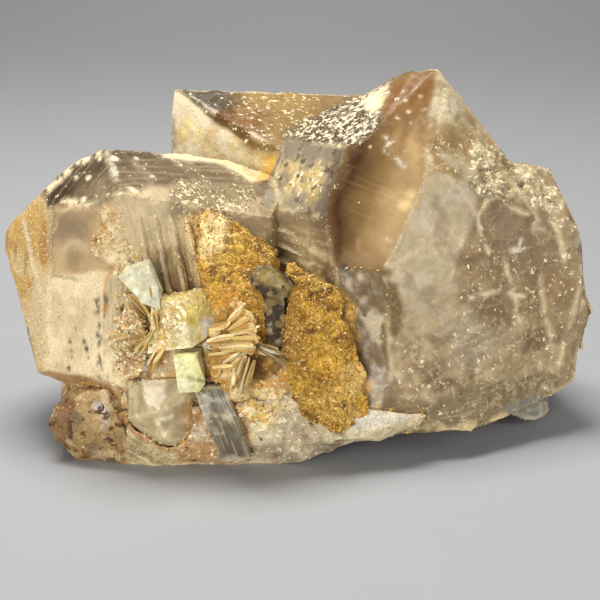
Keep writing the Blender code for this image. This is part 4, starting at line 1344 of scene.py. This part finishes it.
def crystal_material(name):
    """A cloudy translucent crystal."""
    r = Recipe(name)
    fine = r.grain(0.6, 4.0)
    cloud = r.grain(2.5, 4.0)
    shade = r.times(*(r.between(noise, 0.3, 0.7, 0.85, 1.12) for noise in (fine, cloud)))
    r.set(Base_Color=r.scaled(r.tint(), shade), Roughness=r.between(cloud, 0.35, 0.65, 0.2, 0.45),
          IOR=GREEN_IOR, Transmission_Weight=0.12)
    r.bump((cloud, 0.2, 0.3), (fine, 0.08, 0.4))
    return r.material


# ---------------------------------------------------------------- floor, light and camera

FLOOR_SIZE = 6.0             # metres
SKY_COLOUR = (1.0, 0.98, 0.94, 1.0)
SKY_STRENGTH = 0.17
LAMP_COLOUR = (1.0, 0.97, 0.92)

def studio():
    """A pale floor under a dim sky and four soft lamps."""
    half = FLOOR_SIZE / 2
    corners = [(-half, -half, 0), (half, -half, 0), (half, half, 0), (-half, half, 0)]
    floor_mesh = bpy.data.meshes.new("floor")
    floor_mesh.from_pydata(corners, [], [(0, 1, 2, 3)])
    floor = bpy.data.objects.new("floor", floor_mesh)
    bpy.context.scene.collection.objects.link(floor)
    r = Recipe("pale_floor")
    r.set(Base_Color=r.mix(r.grain(40, 3.0), rgba(150, 152, 156), rgba(153, 155, 159)), Roughness=0.7)
    floor_mesh.materials.append(r.material)

    world = bpy.data.worlds.new("studio")
    bpy.context.scene.world = world
    world.use_nodes = True
    back = world.node_tree.nodes["Background"]
    back.inputs["Color"].default_value = SKY_COLOUR
    back.inputs["Strength"].default_value = SKY_STRENGTH
    soft_light("overhead", (-0.08, 0.12, 0.66), (0.0, 0.0, 0.0), size=0.36, power=6.8)
    soft_light("front_fill", (-0.25, -0.82, 0.15), (0.0, 0.0, 0.04), size=0.36, power=6.4)
    soft_light("side_fill", (0.60, -0.35, 0.30), (0.0, 0.0, 0.04), size=0.3, power=1.8)
    soft_light("back_wash", (0.0, 1.15, 0.55), (0.0, 1.25, 0.0), size=0.7, power=3.0)
    bpy.context.scene.view_settings.view_transform = "Standard"


def soft_light(name, place, target, size, power):
    """A square lamp that faces a target. Sizes are in metres and the power in watts."""
    light = bpy.data.lights.new(name, "AREA")
    light.shape = "SQUARE"
    light.size = size
    light.energy = power
    light.color = LAMP_COLOUR
    lamp = bpy.data.objects.new(name, light)
    lamp.location = place
    lamp.rotation_euler = (Vector(target) - Vector(place)).to_track_quat("-Z", "Y").to_euler()
    bpy.context.scene.collection.objects.link(lamp)


def camera():
    data = bpy.data.cameras.new("camera")
    data.lens = LENS
    data.sensor_width = SENSOR
    data.clip_start = 0.01
    holder = bpy.data.objects.new("camera", data)
    holder.location = EYE
    holder.rotation_euler = (math.pi / 2 - VIEW_TILT, 0, 0)
    bpy.context.scene.collection.objects.link(holder)
    bpy.context.scene.camera = holder


camera()
studio()
quartz_surface = quartz()
matrix_surface = matrix(quartz_surface)
crusts(quartz_surface, matrix_surface)
small_pieces()
